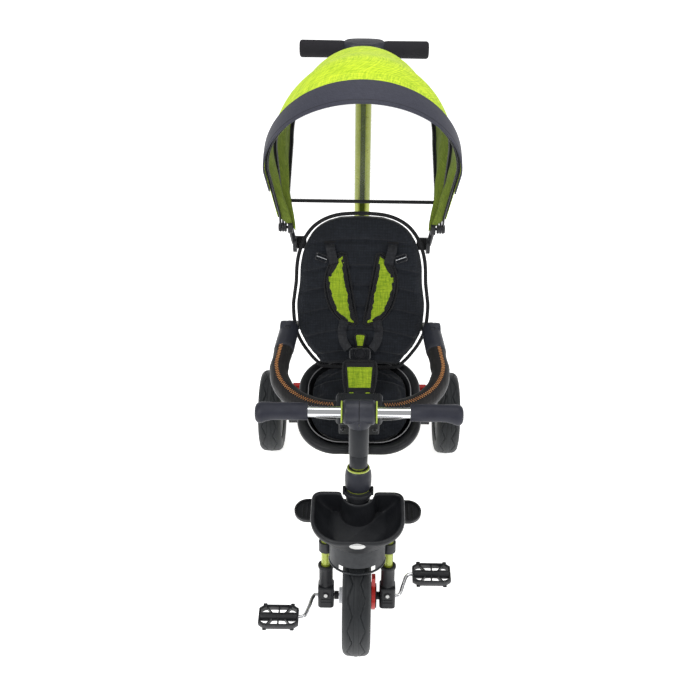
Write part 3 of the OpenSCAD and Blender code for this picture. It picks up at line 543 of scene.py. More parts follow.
railCloth = wovenCloth("railCloth", {"colour": (0.0065, 0.006, 0.0065),
                                     "yarnColour": (0.018, 0.016, 0.016),
                                     "shade": (0.005, 0.005, 0.006), "threads": 900, "yarn": 0.003,
                                     "rough": 0.55, "sheen": 0.1, "depth": 0.00025})
bindingCloth = wovenCloth("bindingCloth",
                          {"colour": (0.006, 0.0065, 0.008), "yarnColour": (0.016, 0.017, 0.02),
                                           "shade": (0.003, 0.003, 0.004), "threads": 1300,
                                           "yarn": 0.002,
                                           "rough": 0.6, "sheen": 0.1, "depth": 0.0003})
webbingCloth = wovenCloth("webbingCloth",
                          {"colour": (0.009, 0.010, 0.013), "yarnColour": (0.025, 0.027, 0.033),
                                           "shade": (0.004, 0.004, 0.006), "threads": 700,
                                           "yarn": 0.002,
                                           "rough": 0.5, "sheen": 0.08, "depth": 0.0004})
canopyCloth = wovenCloth("canopyCloth", {"colour": (0.80, 0.98, 0.035),
                                         "yarnColour": (0.38, 0.60, 0.012),
                                         "shade": (0.40, 0.62, 0.018), "threads": 900, "yarn": 0.0035,
                                         "rough": 0.75, "sheen": 0.12, "depth": 0.0003, "fade": 0.12,
                                         "gapShade": 0.25}, "UV")
# Inner face of the canopy: a darker copy of the canopy cloth, painted shade
canopyLining = wovenCloth("canopyLining",
                          {"colour": (0.21, 0.28, 0.03), "yarnColour": (0.10, 0.15, 0.012),
                                           "shade": (0.07, 0.10, 0.01), "threads": 900, "yarn": 0.0035,
                                           "rough": 0.8, "sheen": 0.1, "depth": 0.0003}, "UV")
padCloth = wovenCloth("padCloth", {"colour": (0.42, 0.56, 0.022), "yarnColour": (0.16, 0.27, 0.008),
                                   "shade": (0.22, 0.34, 0.014), "threads": 900, "yarn": 0.003,
                                   "rough": 0.8, "sheen": 0.12, "depth": 0.0004, "gapShade": 0.4})
brimCloth = wovenCloth("brimCloth", {"colour": (0.050, 0.052, 0.075),
                                     "yarnColour": (0.036, 0.037, 0.054),
                                     "shade": (0.040, 0.042, 0.060), "threads": 1400, "yarn": 0.002,
                                     "rough": 0.6, "sheen": 0.1, "depth": 0.00012, "creases": 0.2},
                                     "UV")
windowCloth = windowNet("windowCloth", {"colour": (0.16, 0.16, 0.18), "shade": (0.11, 0.11, 0.13),
                                        "pitch": 0.0016,
                                        "open": 0.08, "solid": 0.38})
orangeThread = mouldedPlastic("orangeThread", {"colour": (0.95, 0.46, 0.17), "shade": (0.8, 0.34, 0.11),
                                               "worn": (0.7, 0.35, 0.15), "rough": 0.6, "grain": 0.0004,
                                               "depth": 0.0002})
darkThread = mouldedPlastic("darkThread", {"colour": (0.03, 0.032, 0.04), "shade": (0.02, 0.021, 0.027),
                                           "worn": (0.06, 0.06, 0.07), "rough": 0.6, "grain": 0.0004,
                                           "depth": 0.0002})
palePiping = mouldedPlastic("palePiping", {"colour": (0.32, 0.32, 0.33), "shade": (0.2, 0.2, 0.21),
                                           "worn": (0.5, 0.5, 0.5), "rough": 0.45, "grain": 0.0005,
                                           "depth": 0.0001})
print("finishes ready")

# The carried-over pieces, by finish
dressed = {
    "limePaint": ["main_frame", "fork", "push_bar_lower"],
    "limeHandle": ["push_bar_upper"],
    "chrome": ["handlebar", "handle_tube"],
    "steel": ["rear_axle", "seat_turntable"],
    "blackPlastic": ["head_bushes", "brake_housings", "footrest_bracket", "seat_base", "push_clamp",
                     "push_button",
                     "clutch_housing", "canopy_brackets"],
    "hoodPlastic": ["fender"],
    "blackGloss": ["buckle_button", "canopy_rear_hoop", "canopy_mid_hoop", "canopy_front_hoop"],
    "redPlastic": ["clutch_lever", "brake_pedal_left", "brake_pedal_right"],
    "rimPlastic": ["front_rim", "rear_rim_left", "rear_rim_right"],
    "whitePlastic": ["screw_caps"],
    "limeRubber": ["clamp_rings"],
}
for finishName, nodeNames in dressed.items():
    for nodeName in nodeNames:
        node = frame["nodes"][nodeName]
        for materialSlot in node.material_slots:
            materialSlot.material = bpy.data.materials[finishName]
print("frame dressed")


def settle(obj, body, slotName, *nodes):
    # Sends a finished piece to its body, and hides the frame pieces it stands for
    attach(obj, body)
    if nodes:
        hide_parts(*nodes)
    return obj


# Tyres: round shoulders, two waved grooves and a pair of fine centre lines
tyreLook = {"width": 0.058, "height": 0.032, "shoulder": 0.014, "waves": 12, "waveSide": 0.0135,
            "waveSwing": 0.0042, "grooveWidth": 0.0013, "grooveDepth": 0.0024, "centreLine": 0.0052,
            "steps": 288}


def tyreSection(radius, look):
    half = look["width"] / 2
    corner = look["shoulder"]
    key = [(-half + 0.005, radius - look["height"] - 0.001),
           (-half + 0.001, radius - look["height"] + 0.006),
           (-half, radius - corner - 0.004)]
    for k in range(9):
        turn = math.pi / 2 * k / 8
        key.append((-half + corner - corner * math.cos(turn),
                    radius - 0.0015 - corner + corner * math.sin(turn)))
    key.append((0.0, radius))
    key += [(-x, r) for x, r in reversed(key[:-1])]
    points = [Vector((x, r, 0)) for x, r in key]
    section = []
    for a, b in zip(points, points[1:]):
        parts = max(1, round((b - a).length / 0.0009))
        section += [a.lerp(b, k / parts) for k in range(parts)]
    section.append(points[-1])
    return section


def makeTyre(name, centre, radius, look):
    section = tyreSection(radius, look)
    rings = []
    for i in range(look["steps"]):
        turn = 2 * math.pi * i / look["steps"]
        wave = math.sin(turn * look["waves"]) - 0.15 * math.sin(3 * turn * look["waves"])
        ring = []
        for k, point in enumerate(section):
            ahead = section[min(k + 1, len(section) - 1)]
            behind = section[max(k - 1, 0)]
            normal = Vector((-(ahead - behind).y, (ahead - behind).x, 0)).normalized()
            depth = 0.0
            if point.y > radius - 0.009:
                for side in (-1, 1):
                    middle = side * (look["waveSide"] + look["waveSwing"] * wave)
                    off = (point.x - middle) / look["grooveWidth"]
                    depth += look["grooveDepth"] * math.exp(-off * off)
                    line = (point.x - side * look["centreLine"]) / 0.0007
                    depth += 0.0009 * math.exp(-line * line)
            else:
                depth -= 0.0005 * math.sin((radius - point.y) * 900)
            moved = point - normal * depth
            ring.append(centre + Vector((moved.x, moved.y * math.cos(turn), moved.y * math.sin(turn))))
        rings.append(ring)
    count = len(section)
    points = [p for ring in rings for p in ring]
    faces = []
    for i in range(len(rings)):
        j = (i + 1) % len(rings)
        faces += [(i * count + k, i * count + k + 1, j * count + k + 1,
                   j * count + k) for k in range(count - 1)]
    return addObject(name, points, faces, tyreRubber, 60)


frontRadius = boxSize("front_tyre").y / 2
rearRadius = boxSize("rear_tyre_left").y / 2
settle(makeTyre("frontTyre", boxMid("front_tyre"), frontRadius, tyreLook), "front_wheel", "tyre",
       "front_tyre")
settle(makeTyre("rearTyreLeft", boxMid("rear_tyre_left"), rearRadius, tyreLook),
       "rear_wheel_left", "tyre", "rear_tyre_left")
settle(makeTyre("rearTyreRight", boxMid("rear_tyre_right"), rearRadius, tyreLook),
       "rear_wheel_right", "tyre", "rear_tyre_right")
for side, body in ((-1, "rear_wheel_left"), (1, "rear_wheel_right")):
    hub = Matrix.Translation((side * (boxMid("rear_tyre_right").x + 0.029), rearAxle.y, rearAxle.z))
    hub = hub @ Matrix.Rotation(side * math.pi / 2, 4, "Y")
    cap = lathe("hubCap" + body[-5:].strip("_"),
                [(0.0, 0.021), (0.001, 0.0215), (0.0025, 0.0205), (0.003, 0.014),
                                                  (0.0022, 0.0125), (0.0022, 0.006), (0.0032, 0.004),
                                                  (0.0034, 0)],
                hub, greyPlastic)
    settle(cap, body, "grey_plastic")
print("wheels ready")

# Pedals: a waisted frame round a barrel, with diagonal ribs and corner studs
pedalLook = {"wall": 0.0045, "barrel": 0.0085, "rib": 0.0028, "stud": 0.0042, "waist": 0.012}


def makePedal(side, look):
    node = "pedal_" + side
    middle = boxMid(node)
    size = boxSize(node)
    place = Matrix.Translation(middle)
    halfX, halfY, halfZ = size.x / 2, size.y / 2, size.z / 2
    wall = look["wall"]
    corners = [(-halfX, -halfY + 0.008), (-halfX + look["waist"], -halfY),
               (halfX - look["waist"], -halfY),
               (halfX, -halfY + 0.008), (halfX, halfY - 0.008), (halfX - look["waist"], halfY),
               (-halfX + look["waist"], halfY), (-halfX, halfY - 0.008)]
    rings = []
    for grow, z in ((0, -halfZ + 0.002), (0.0006, 0), (0, halfZ - 0.002), (-wall * 0.3, halfZ),
                    (-wall * 0.7, halfZ),
                    (-wall, halfZ - 0.002), (-wall, -halfZ + 0.002), (-wall * 0.7, -halfZ),
                    (-wall * 0.3, -halfZ)):
        rings.append([place @ Vector((x * (1 + grow / halfX), y * (1 + grow / halfY), z)) for x,
                      y in corners])
    body = loft("pedalFrame" + side.capitalize(), rings, blackPlastic, closedPath=True)
    softEdges(body, 0.0008, 2)
    barrel = lathe("pedalBarrel" + side.capitalize(),
                   [(-halfX + 0.001, 0.0045), (-halfX + 0.001, look["barrel"]),
                                                       (-halfX + 0.012, look["barrel"] + 0.001),
                                                       (0, look["barrel"]),
                                                       (halfX - 0.012, look["barrel"] + 0.001),
                                                       (halfX - 0.001, look["barrel"]),
                                                       (halfX - 0.001, 0.0045)],
                   place @ alongX, blackPlastic, 32)
    barrel.parent = body
    ribs = []
    for end in (-1, 1):
        for way in (-1, 1):
            ribs.append((end * 0.021, way * 0.0155, 0.9 * way * end))
        ribs.append((end * 0.0005, end * 0.0155, math.pi / 2))
    for number, (x, y, turn) in enumerate(ribs):
        rib = roundedBlock("pedalRib" + side.capitalize() + str(number),
                           (0.024 if abs(turn) < 1.5 else 0.018, look["rib"], size.z * 0.62),
                           place @ Matrix.Translation((x, y, 0)) @ Matrix.Rotation(turn, 4, "Z"),
                           blackPlastic,
                           0.001, 0.0006)
        rib.parent = body
    for number, (x, y) in enumerate([corners[1], corners[2], corners[5], corners[6]]):
        for top in (-1, 1):
            spot = place @ Matrix.Translation((x * 0.97, y * 0.94, top * (halfZ - 0.0005)))
            stud = roundedBlock("pedalStud" + side.capitalize() + str(number) + "ab"[(top + 1) // 2],
                                (look["stud"] * 2, look["stud"] * 1.3, 0.0035), spot, blackPlastic,
                                0.0015, 0.0008)
            stud.parent = body
    settle(body, node, "black_plastic", node)


makePedal("left", pedalLook)
makePedal("right", pedalLook)

# Crank: one bent bright rod
crankLook = {"radius": 0.0043, "start": 0.084, "bend": 0.0945, "out": 0.109, "straight": 0.122}
throw = abs(jointPlace("pedal_right_spin").y - frontAxle.y)
rightHalf = [(0, 0), (0.04, 0), (crankLook["start"], 0), (crankLook["bend"], 0.006),
             (0.101, throw * 0.5),
             (crankLook["out"], throw - 0.006), (crankLook["straight"], throw), (0.16, throw),
             (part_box("crank")[1].x, throw)]
bends = [(-x, -y, 0) for x, y in reversed(rightHalf[1:])] + [(x, y, 0) for x, y in rightHalf]
rodPath = smoothPath([frontAxle + Vector(p) for p in bends], 10)
crank = sweep("crankRod", rodPath, circle(crankLook["radius"], 20), chrome)
settle(crank, "crank", "chrome", "crank")
spacer = lathe("axleSpacer", roundedProfile(-0.048, -0.0386, 0.009, 0.0012),
               Matrix.Translation(frontAxle) @ alongX,
               blackPlastic, 40)
settle(spacer, "crank", "black_plastic")
print("pedals and crank ready")

# Fork: sleeves with flared lips over end blocks
forkLook = {"leg": 0.066, "sleeve": 0.0145, "lip": 0.0172, "sleeveStart": 0.029, "sleeveEnd": 0.081,
            "block": (0.034, 0.036, 0.052), "lift": 0.004}
for side, tag in ((-1, "Left"), (1, "Right")):
    leg = column @ Matrix.Translation((side * forkLook["leg"], 0, 0))
    low, high = forkLook["sleeveStart"], forkLook["sleeveEnd"]
    wide, lip = forkLook["sleeve"], forkLook["lip"]
    sleeve = lathe("forkSleeve" + tag, [(low, 0.0105), (low, wide + 0.0005),
                                        (low + 0.004, wide + 0.001),
                                        (low + 0.012, wide), (high - 0.011, wide),
                                        (high - 0.007, lip - 0.0006),
                                        (high - 0.004, lip), (high - 0.001, lip - 0.0003),
                                        (high, lip - 0.0014),
                                        (high, 0.0118), (high - 0.003, 0.0105)], leg, blackPlastic, 48)
    block = roundedBlock("forkEnd" + tag, forkLook["block"],
                         leg @ Matrix.Translation((0, 0, forkLook["lift"])),
                         blackPlastic, 0.007, 0.003)
    rim = lathe("capRing" + tag, [(0, 0.0075), (0.0012, 0.0072), (0.0016, 0.0058), (0.0004, 0.0052)],
                leg @ Matrix.Translation((0, -0.018, 0.012)) @ Matrix.Rotation(math.pi / 2, 4, "X"),
                blackPlastic, 32)
    rim.parent = block
    for number in range(2):
        spot = leg @ Matrix.Translation((0, -0.0182, 0.0005 - 0.007 * number))
        bar = roundedBlock("blockRib" + tag + str(number), (0.022, 0.0016, 0.002), spot, blackPlastic,
                           0.0006, 0.0005)
        bar.parent = block
    if side < 0:
        settle(sleeve, "steering", "black_plastic", "fork_sleeves")
        settle(block, "steering", "black_plastic", "fork_ends")
    else:
        settle(sleeve, "steering", "black_plastic")
        settle(block, "steering", "black_plastic")
    # collars where the axle passes between block and wheel
    inner = lathe("axleCollar" + tag, roundedProfile(0.0385, 0.0495, 0.0085, 0.001) if side > 0 else
                  roundedProfile(-0.0495, -0.0485, 0.0105, 0.0004),
                  Matrix.Translation(frontAxle) @ alongX,
                  blackPlastic, 32)
    settle(inner, "steering", "black_plastic")

# Column: sleeve and barrel on the head, two-step cover on the stem
headLook = {"sleeve": 0.0245, "sleeveStart": 0.204, "ringStart": 0.256, "ring": 0.029,
            "barrelStart": 0.268,
            "barrelEnd": 0.318, "barrel": 0.0272}
start, end, belly = headLook["barrelStart"], headLook["barrelEnd"], headLook["barrel"]
barrel = lathe("headBarrel", [(start, 0.0236), (start, belly - 0.005), (start + 0.003, belly - 0.0028),
                              (start + 0.009, belly - 0.0006), (start + 0.018, belly),
                              (start + 0.03, belly),
                              (end - 0.010, belly - 0.001), (end - 0.004, belly - 0.0035),
                              (end - 0.001, belly - 0.006),
                              (end, belly - 0.008), (end, 0.0200)], column, greyPlastic, 72)
settle(barrel, "frame", "grey_plastic", "head_collar")
ringStart, ring = headLook["ringStart"], headLook["ring"]
flange = lathe("headRing", [(ringStart, 0.0236), (ringStart, ring - 0.001), (ringStart + 0.001, ring),
                            (ringStart + 0.007, ring), (ringStart + 0.0085, ring - 0.001),
                            (ringStart + 0.009, 0.0256),
                            (ringStart + 0.012, 0.0250), (ringStart + 0.012, 0.0236)], column,
                            blackPlastic, 72)
for side in (-1, 1):
    lug = roundedBlock("headLug" + "ab"[(side + 1) // 2], (0.006, 0.014, 0.014),
                       column @ Matrix.Translation((side * (ring - 0.0005), 0, ringStart + 0.007)),
                       blackPlastic,
                       0.002, 0.001)
    lug.parent = flange
settle(flange, "frame", "black_plastic")
sleeve = lathe("headSleeve", [(headLook["sleeveStart"], 0.0231),
                              (headLook["sleeveStart"], headLook["sleeve"]),
                              (0.24, headLook["sleeve"]),
                              (ringStart + 0.002, headLook["sleeve"] + 0.0006),
                              (ringStart + 0.002, 0.0231)], column, blackPlastic, 64)
settle(sleeve, "frame", "black_plastic")
stem = lathe("stemCover", [(0.3222, 0.0142), (0.3222, 0.0172), (0.3232, 0.0185), (0.3475, 0.0187),
                           (0.3486, 0.0178),
                           (0.3492, 0.0178), (0.3500, 0.0196), (0.3515, 0.0200), (0.4085, 0.0200),
                           (0.4105, 0.0194),
                           (0.4165, 0.0194), (0.4165, 0.0142)], column, hoodPlastic, 64)
settle(stem, "steering", "black_gloss", "stem_cover")

# Handlebar clamp: two soft shells that meet in a seam, on a short neck
reach = (boxMid("handlebar") - frontAxle).length
bar = column @ Matrix.Translation((0, 0, reach))
clampLook = {"half": 0.033, "radius": 0.0252, "round": 0.009, "seam": 0.0003}
for side, tag in ((-1, "Left"), (1, "Right")):
    profile = [(clampLook["seam"], 0.0112), (clampLook["seam"], clampLook["radius"] - 0.0012),
               (clampLook["seam"] + 0.0008, clampLook["radius"] - 0.0003)]
    for k in range(9):
        turn = math.pi / 2 * k / 8
        profile.append((clampLook["half"] - clampLook["round"] * (1 - math.sin(turn)),
                        clampLook["radius"] - clampLook["round"] * (1 - math.cos(turn))))
    profile.append((clampLook["half"], 0.0112))
    shell = lathe("clamp" + tag, profile, bar @ Matrix.Rotation(side * math.pi / 2, 4, "Y"),
                  greyPlastic, 72)
    neckRings = []
    for t, wide, deep in ((-0.030, 0.0205, 0.0205), (-0.0285, 0.0222, 0.0215), (-0.022, 0.0255, 0.0228),
                          (-0.015, 0.0275, 0.0236), (-0.004, 0.0285, 0.022)):
        ringPoints = []
        for k in range(33):
            turn = math.pi * k / 32 - math.pi / 2
            ringPoints.append(bar @ Vector((side * (clampLook["seam"] + wide * math.cos(turn)),
                                            deep * math.sin(turn), t)))
        neckRings.append(ringPoints)
    neck = loft("clampNeck" + tag, neckRings, greyPlastic)
    neck.parent = shell
    settle(shell, "steering", "grey_plastic", "clamp_" + tag.lower())
# dark core in the seam between the two shells: painted shade
core = lathe("clampSeam", [(-0.0007, 0.0112), (-0.0007, 0.0243), (0.0007, 0.0243), (0.0007, 0.0112)],
             bar @ Matrix.Rotation(math.pi / 2, 4, "Y"), darkRecess, 72)
core.parent = shell

# Handlebar grips: smooth rubber that swells and droops at the end
gripLook = {"start": 0.101, "end": 0.205, "radius": 0.0172, "bulb": 0.0208, "droop": 0.004}
for side, tag in ((-1, "Left"), (1, "Right")):
    start, end, thick, bulb = gripLook["start"], gripLook["end"], gripLook["radius"], gripLook["bulb"]
    stations = [(start, 0.0112, 0), (start, thick - 0.001, 0), (start + 0.001, thick, 0),
                (start + 0.03, thick + 0.0005, 0),
                (end - 0.045, thick + 0.0002, 0), (end - 0.032, thick + 0.0006, 0.1),
                (end - 0.022, thick + 0.002, 0.4),
                (end - 0.014, bulb, 0.8), (end - 0.009, bulb, 1), (end - 0.005, bulb - 0.0016, 1),
                (end - 0.002, bulb - 0.0048, 1), (end - 0.0005, bulb - 0.009, 1), (end, 0.006, 1),
                (end, 0.0004, 1)]
    gripRings = []
    for x, radius, droop in stations:
        lower = gripLook["droop"] * droop
        gripRings.append([bar @ Vector((side * x, radius * math.cos(turn), radius * math.sin(turn) - lower))
                          for turn in [2 * math.pi * k / 56 for k in range(56)]])
    grip = loft("barGrip" + tag, gripRings, gripRubber, smoothAngle=50)
    if side < 0:
        settle(grip, "steering", "grip_rubber", "bar_grips")
    else:
        settle(grip, "steering", "grip_rubber")
print("steering ready")

# Push handle: a flat drum between two foam grips
handleLook = {"wide": 0.046, "deep": 0.033, "grip": 0.0182,
              "inner": 0.040, "outer": boxSize("handle_grips").x / 2}
drumRings = []
for t, grow in ((-0.046, -0.022), (-0.045, -0.0215), (-0.028, -0.0205), (-0.0225, -0.012),
                (-0.0205, -0.004),
                (-0.017, -0.001), (-0.012, 0), (0.008, 0), (0.013, -0.0012), (0.0165, -0.004),
                (0.0178, -0.0062),
                (0.0172, -0.0075), (0.0176, -0.012), (0.0185, -0.022), (0.0188, -0.030)):
    wide = max(handleLook["wide"] + grow, 0.002)
    deep = max(handleLook["deep"] + grow * 0.7, 0.002)
    drumRings.append([pushTop @ Vector((wide * math.copysign(abs(math.cos(a)) ** 0.8, math.cos(a)),
                                        deep * math.copysign(abs(math.sin(a)) ** 0.8, math.sin(a)), t))
                      for a in [2 * math.pi * k / 72 for k in range(72)]])
drum = loft("handleDrum", drumRings, greyPlastic, smoothAngle=60)
settle(drum, "push_handle", "grey_plastic", "handle_hub")
for side, tag in ((-1, "Left"), (1, "Right")):
    inner, outer, thick = handleLook["inner"], handleLook["outer"], handleLook["grip"]
    profile = [(inner, thick - 0.002), (inner + 0.01, thick - 0.0004), (outer - 0.006, thick)]
    for k in range(1, 8):
        turn = math.pi / 2 * k / 7
        profile.append((outer - 0.006 + 0.006 * math.sin(turn), thick - 0.006 * (1 - math.cos(turn))))
    profile += [(outer - 0.0006, 0.006), (outer - 0.0012, 0.004), (outer - 0.0012, 0)]
    foam = lathe("foamGrip" + tag, profile, pushTop @ Matrix.Rotation(side * math.pi / 2, 4, "Y"),
                 foamGrip, 56)
    if side < 0:
        settle(foam, "push_handle", "foam_grip", "handle_grips")
    else:
        settle(foam, "push_handle", "foam_grip")
# Dark strip down the front of the upper push bar: a painted reflection of the dark seat back and canopy in
# the glossy paint
limeChannel = powderCoat("limeChannel", {"colour": (0.10, 0.15, 0.008), "shade": (0.06, 0.09, 0.004),
                                         "flake": 0.0012,
                                         "flakeColour": (0.3, 0.36, 0.06), "metal": 0.4, "rough": 0.3})
reflectionLook = {"radius": boxSize("push_bar_upper").x / 2 + 0.0004, "angle": 0.3, "top": -0.05,
               "bottom": -0.375}
stripRings = []
for t in (reflectionLook["bottom"], reflectionLook["bottom"] + 0.003, reflectionLook["top"] - 0.003,
          reflectionLook["top"]):
    stripRing = []
    for radius, order in ((reflectionLook["radius"], 1), (reflectionLook["radius"] - 0.0012, -1)):
        for k in range(-4, 5):
            a = order * k / 4 * reflectionLook["angle"] - math.pi / 2
            stripRing.append(pushTop @ Vector((radius * math.cos(a), radius * math.sin(a), t)))
    stripRings.append(stripRing)
strip = loft("barPaintedReflection", stripRings, limeChannel)
settle(strip, "push_handle", "lime_handle_paint")
print("push handle ready")

# Basket: one shell with a rolled lip and a hollow at the back for the column
lipLow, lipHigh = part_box("basket")
columnSlope = jointAxis("steer").y / jointAxis("steer").z
basketLook = {"front": 0.062, "corner": 0.015, "notch": 0.037, "taper": 0.050, "lip": 0.0035,
              "points": 168}


def basketRing(wide, grow, z, notch):
    back = lipHigh.y + grow
    mid = lipHigh.y - 0.064
    half = wide / 2
    arcs = [((half - basketLook["front"], mid), basketLook["front"] + grow, -90, 0),
            ((half - basketLook["corner"], lipHigh.y - basketLook["corner"]),
             basketLook["corner"] + grow, 0, 90)]
    outline = [(0.0, mid - basketLook["front"] - grow)]
    for (x, y), radius, first, last in arcs:
        for k in range(17):
            turn = math.radians(first + (last - first) * k / 16)
            outline.append((x + radius * math.cos(turn), y + radius * math.sin(turn)))
    hollowY = frontAxle.y + (z - frontAxle.z) * columnSlope
    start = math.asin(max(-0.9, min(0.9, (back - hollowY) / notch)))
    for k in range(17):
        turn = start + (-math.pi / 2 - start) * k / 16
        outline.append((notch * math.cos(turn), hollowY + notch * math.sin(turn)))
    outline += [(-x, y) for x, y in reversed(outline[1:-1])]
    # even spacing, then a little smoothing for soft corners
    loop = [Vector((x, y, z)) for x, y in outline]
    lengths = [(loop[(k + 1) % len(loop)] - p).length for k, p in enumerate(loop)]
    total, count = sum(lengths), basketLook["points"]
    even, walked, k = [], 0.0, 0
    for n in range(count):
        goal = total * n / count
        while walked + lengths[k] < goal:
            walked += lengths[k]
            k += 1
        even.append(loop[k].lerp(loop[(k + 1) % len(loop)], (goal - walked) / max(lengths[k], 1e-9)))
    for _ in range(4):
        even = [(even[n - 1] + 2 * even[n] + even[(n + 1) % count]) / 4 for n in range(count)]
    return even


wide, top, bottom, hollow = lipHigh.x * 2, lipHigh.z, lipLow.z, basketLook["notch"]
taper = basketLook["taper"]
basketRings = []
for step in range(9):
    up = step / 8
    basketRings.append(basketRing(wide - taper * (1 - up) ** 1.6, -0.013 + 0.0065 * up,
                                  bottom + 0.003 + (top - bottom - 0.007) * up, hollow))
for grow, z, cut in ((-0.0060, top - 0.001, 0), (-0.0045, top + 0.0012, 0.0004),
                     (-0.0020, top + 0.0022, 0.0015),
                     (0.0006, top + 0.0015, 0.0026), (0.0022, top - 0.0008, 0.0032),
                     (0.0027, top - 0.004, 0.0033),
                     (0.0022, top - 0.0085, 0.0032), (0.0004, top - 0.0105, 0.003),
                     (-0.0022, top - 0.0112, 0.003)):
    basketRings.append(basketRing(wide, grow, z, hollow - cut))
for step in range(1, 8):
    down = step / 7
    basketRings.append(basketRing(wide - taper * down ** 1.7, -0.003 - 0.007 * down,
                                  top - 0.0115 - (top - 0.0115 - bottom) * down, hollow - 0.003))
basket = loft("basketShell", basketRings, blackPlastic, smoothAngle=50)
settle(basket, "steering", "black_plastic", "basket")

# Plain oval plate on the lip
badgePlace = Matrix.Translation((0, lipLow.y - 0.0022,
                                 top - 0.006)) @ Matrix.Rotation(math.radians(74), 4, "X")
badgeRings = []
for z, grow in ((-0.002, 0), (0.0008, 0), (0.0016, -0.0006), (0.0017, -0.0014), (0.0011, -0.0018),
                (0.0014, -0.004),
                (0.0016, -0.0062)):
    badgeRings.append([badgePlace @ Vector(((0.0158 + grow) * math.cos(2 * math.pi * k / 48),
                                            (0.0066 + grow) * math.sin(2 * math.pi * k / 48),
                                            z)) for k in range(48)])
settle(loft("ovalPlate", badgeRings, whitePlastic), "steering", "chrome", "badge")

# Hood lip
lipPath = [column @ Vector((0.0575 * math.cos(a), -0.027 + 0.0575 * math.sin(a), frontRadius - 0.0075))
           for a in [math.pi + math.pi * k / 40 for k in range(41)]]
lip = sweep("hoodLip", lipPath, circle(0.0024, 12), hoodPlastic, up=jointAxis("steer"))
settle(lip, "steering", "black_plastic")
print("basket ready")

# Footrest treads
for side, tag in ((-1, "left"), (1, "right")):
    middle = boxMid("footrest_" + tag)
    hinge = jointPlace("footrest_" + tag + "_fold")
    tread = None
    for number in range(6):
        spot = Matrix.Translation((hinge.x + side * (0.041 + 0.0095 * number), hinge.y,
                                   hinge.z + 0.0016))
        length = 0.044 if number not in (0, 5) else 0.034
        bar = roundedBlock("tread" + tag.capitalize() + str(number), (0.0032, length, 0.0022), spot,
                           blackPlastic,
                           0.0014, 0.0008)
        if tread is None:
            tread = bar
        else:
            bar.parent = tread
    settle(tread, "footrest_" + tag, "black_plastic")
for tag in ("left", "right"):
    for materialSlot in frame["nodes"]["footrest_" + tag].material_slots:
        materialSlot.material = blackPlastic
print("footrests ready")

# Canopy: hoops, one cloth over them, a stiff brim and a net window
canopyLook = {"rise": 0.183, "foot": 0.034, "rearLean": -22.0, "midLean": -2.0, "frontLean": 18.0,
              "rearWide": 0.1535, "midWide": 0.182, "frontWide": 0.1945,
              "rearTall": 0.191, "midTall": 0.1945, "frontTall": 0.1945,
              "rearSlope": -0.085, "midSlope": 0.05, "frontSlope": 0.10, "sag": 0.006, "fold": 0.020,
              "rod": 0.0026,
              "flat": (0.906, 0.270), "area": 0.152}


def alongLean(lean, rear, mid, front):
    # Value at a lean between the three hoops
    if lean < canopyLook["midLean"]:
        t = (lean - canopyLook["rearLean"]) / (canopyLook["midLean"] - canopyLook["rearLean"])
        return rear + (mid - rear) * t
    t = (lean - canopyLook["midLean"]) / (canopyLook["frontLean"] - canopyLook["midLean"])
    return mid + (front - mid) * t


def archLength(lean, foot):
    tall = alongLean(lean, canopyLook["rearTall"], canopyLook["midTall"], canopyLook["frontTall"])
    return math.pi * tall + 2 * (canopyLook["rise"] - foot)


def archPoint(lean, share, inset=0.0, foot=None):
    # share runs from -1 at the left foot, over the top, to 1 at the right foot
    foot = canopyLook["foot"] if foot is None else foot
    wide = alongLean(lean, canopyLook["rearWide"], canopyLook["midWide"],
                     canopyLook["frontWide"]) - inset
    tall = alongLean(lean, canopyLook["rearTall"], canopyLook["midTall"],
                     canopyLook["frontTall"]) - inset
    slope = alongLean(lean, canopyLook["rearSlope"], canopyLook["midSlope"], canopyLook["frontSlope"])
    rise = canopyLook["rise"]
    walk = abs(share) * archLength(lean, foot) / 2
    arc = math.pi * tall / 2
    if walk < arc:
        turn = math.pi / 2 - walk / tall
        x, s = wide * math.cos(turn), rise + tall * math.sin(turn)
    else:
        s = rise - (walk - arc)
        x = wide - slope * (rise - s)
    x = math.copysign(x, share) if share else 0.0
    lean = math.radians(lean)
    return hoopPivot + Vector((x, -s * math.sin(lean), s * math.cos(lean)))


def goreShare(lean):
    # 0 on a hoop, 1 half way between two
    edges = (canopyLook["rearLean"], canopyLook["midLean"], canopyLook["frontLean"])
    for low, high in zip(edges, edges[1:]):
        if low <= lean <= high:
            return math.sin(math.pi * (lean - low) / (high - low)) ** 2
    return 0.0


canopyRows = []
leans = [canopyLook["rearLean"] + 41.0 * k / 44 for k in range(45)]
for lean in leans:
    row = []
    slack = goreShare(lean)
    for k in range(-60, 61):
        share = k / 60
        low = max(0.0, abs(share) - 0.62) / 0.38
        inset = canopyLook["sag"] * slack + canopyLook["fold"] * slack * low ** 1.3
        ripple = noise.noise(Vector((share * 7, lean * 0.12, 1.5))) * 0.0022 * slack
        crease = 0.0016 * slack * math.sin(share * 40 + lean * 0.9) * (0.3 + low)
        row.append(archPoint(lean, share, inset - ripple + crease))
    canopyRows.append(row)
canopyCover = clothGrid("canopyCloth", canopyRows, canopyCloth)
# the inner face takes the darker copy of the cloth: painted shade
canopyCover.data.materials.append(canopyLining)
thick = canopyCover.modifiers.new("thickness", "SOLIDIFY")
thick.thickness = 0.0009
thick.offset = 0
thick.material_offset = 1
thick.material_offset_rim = 0
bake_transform(canopyCover)
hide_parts("canopy_cover")
print("canopy cloth ready")

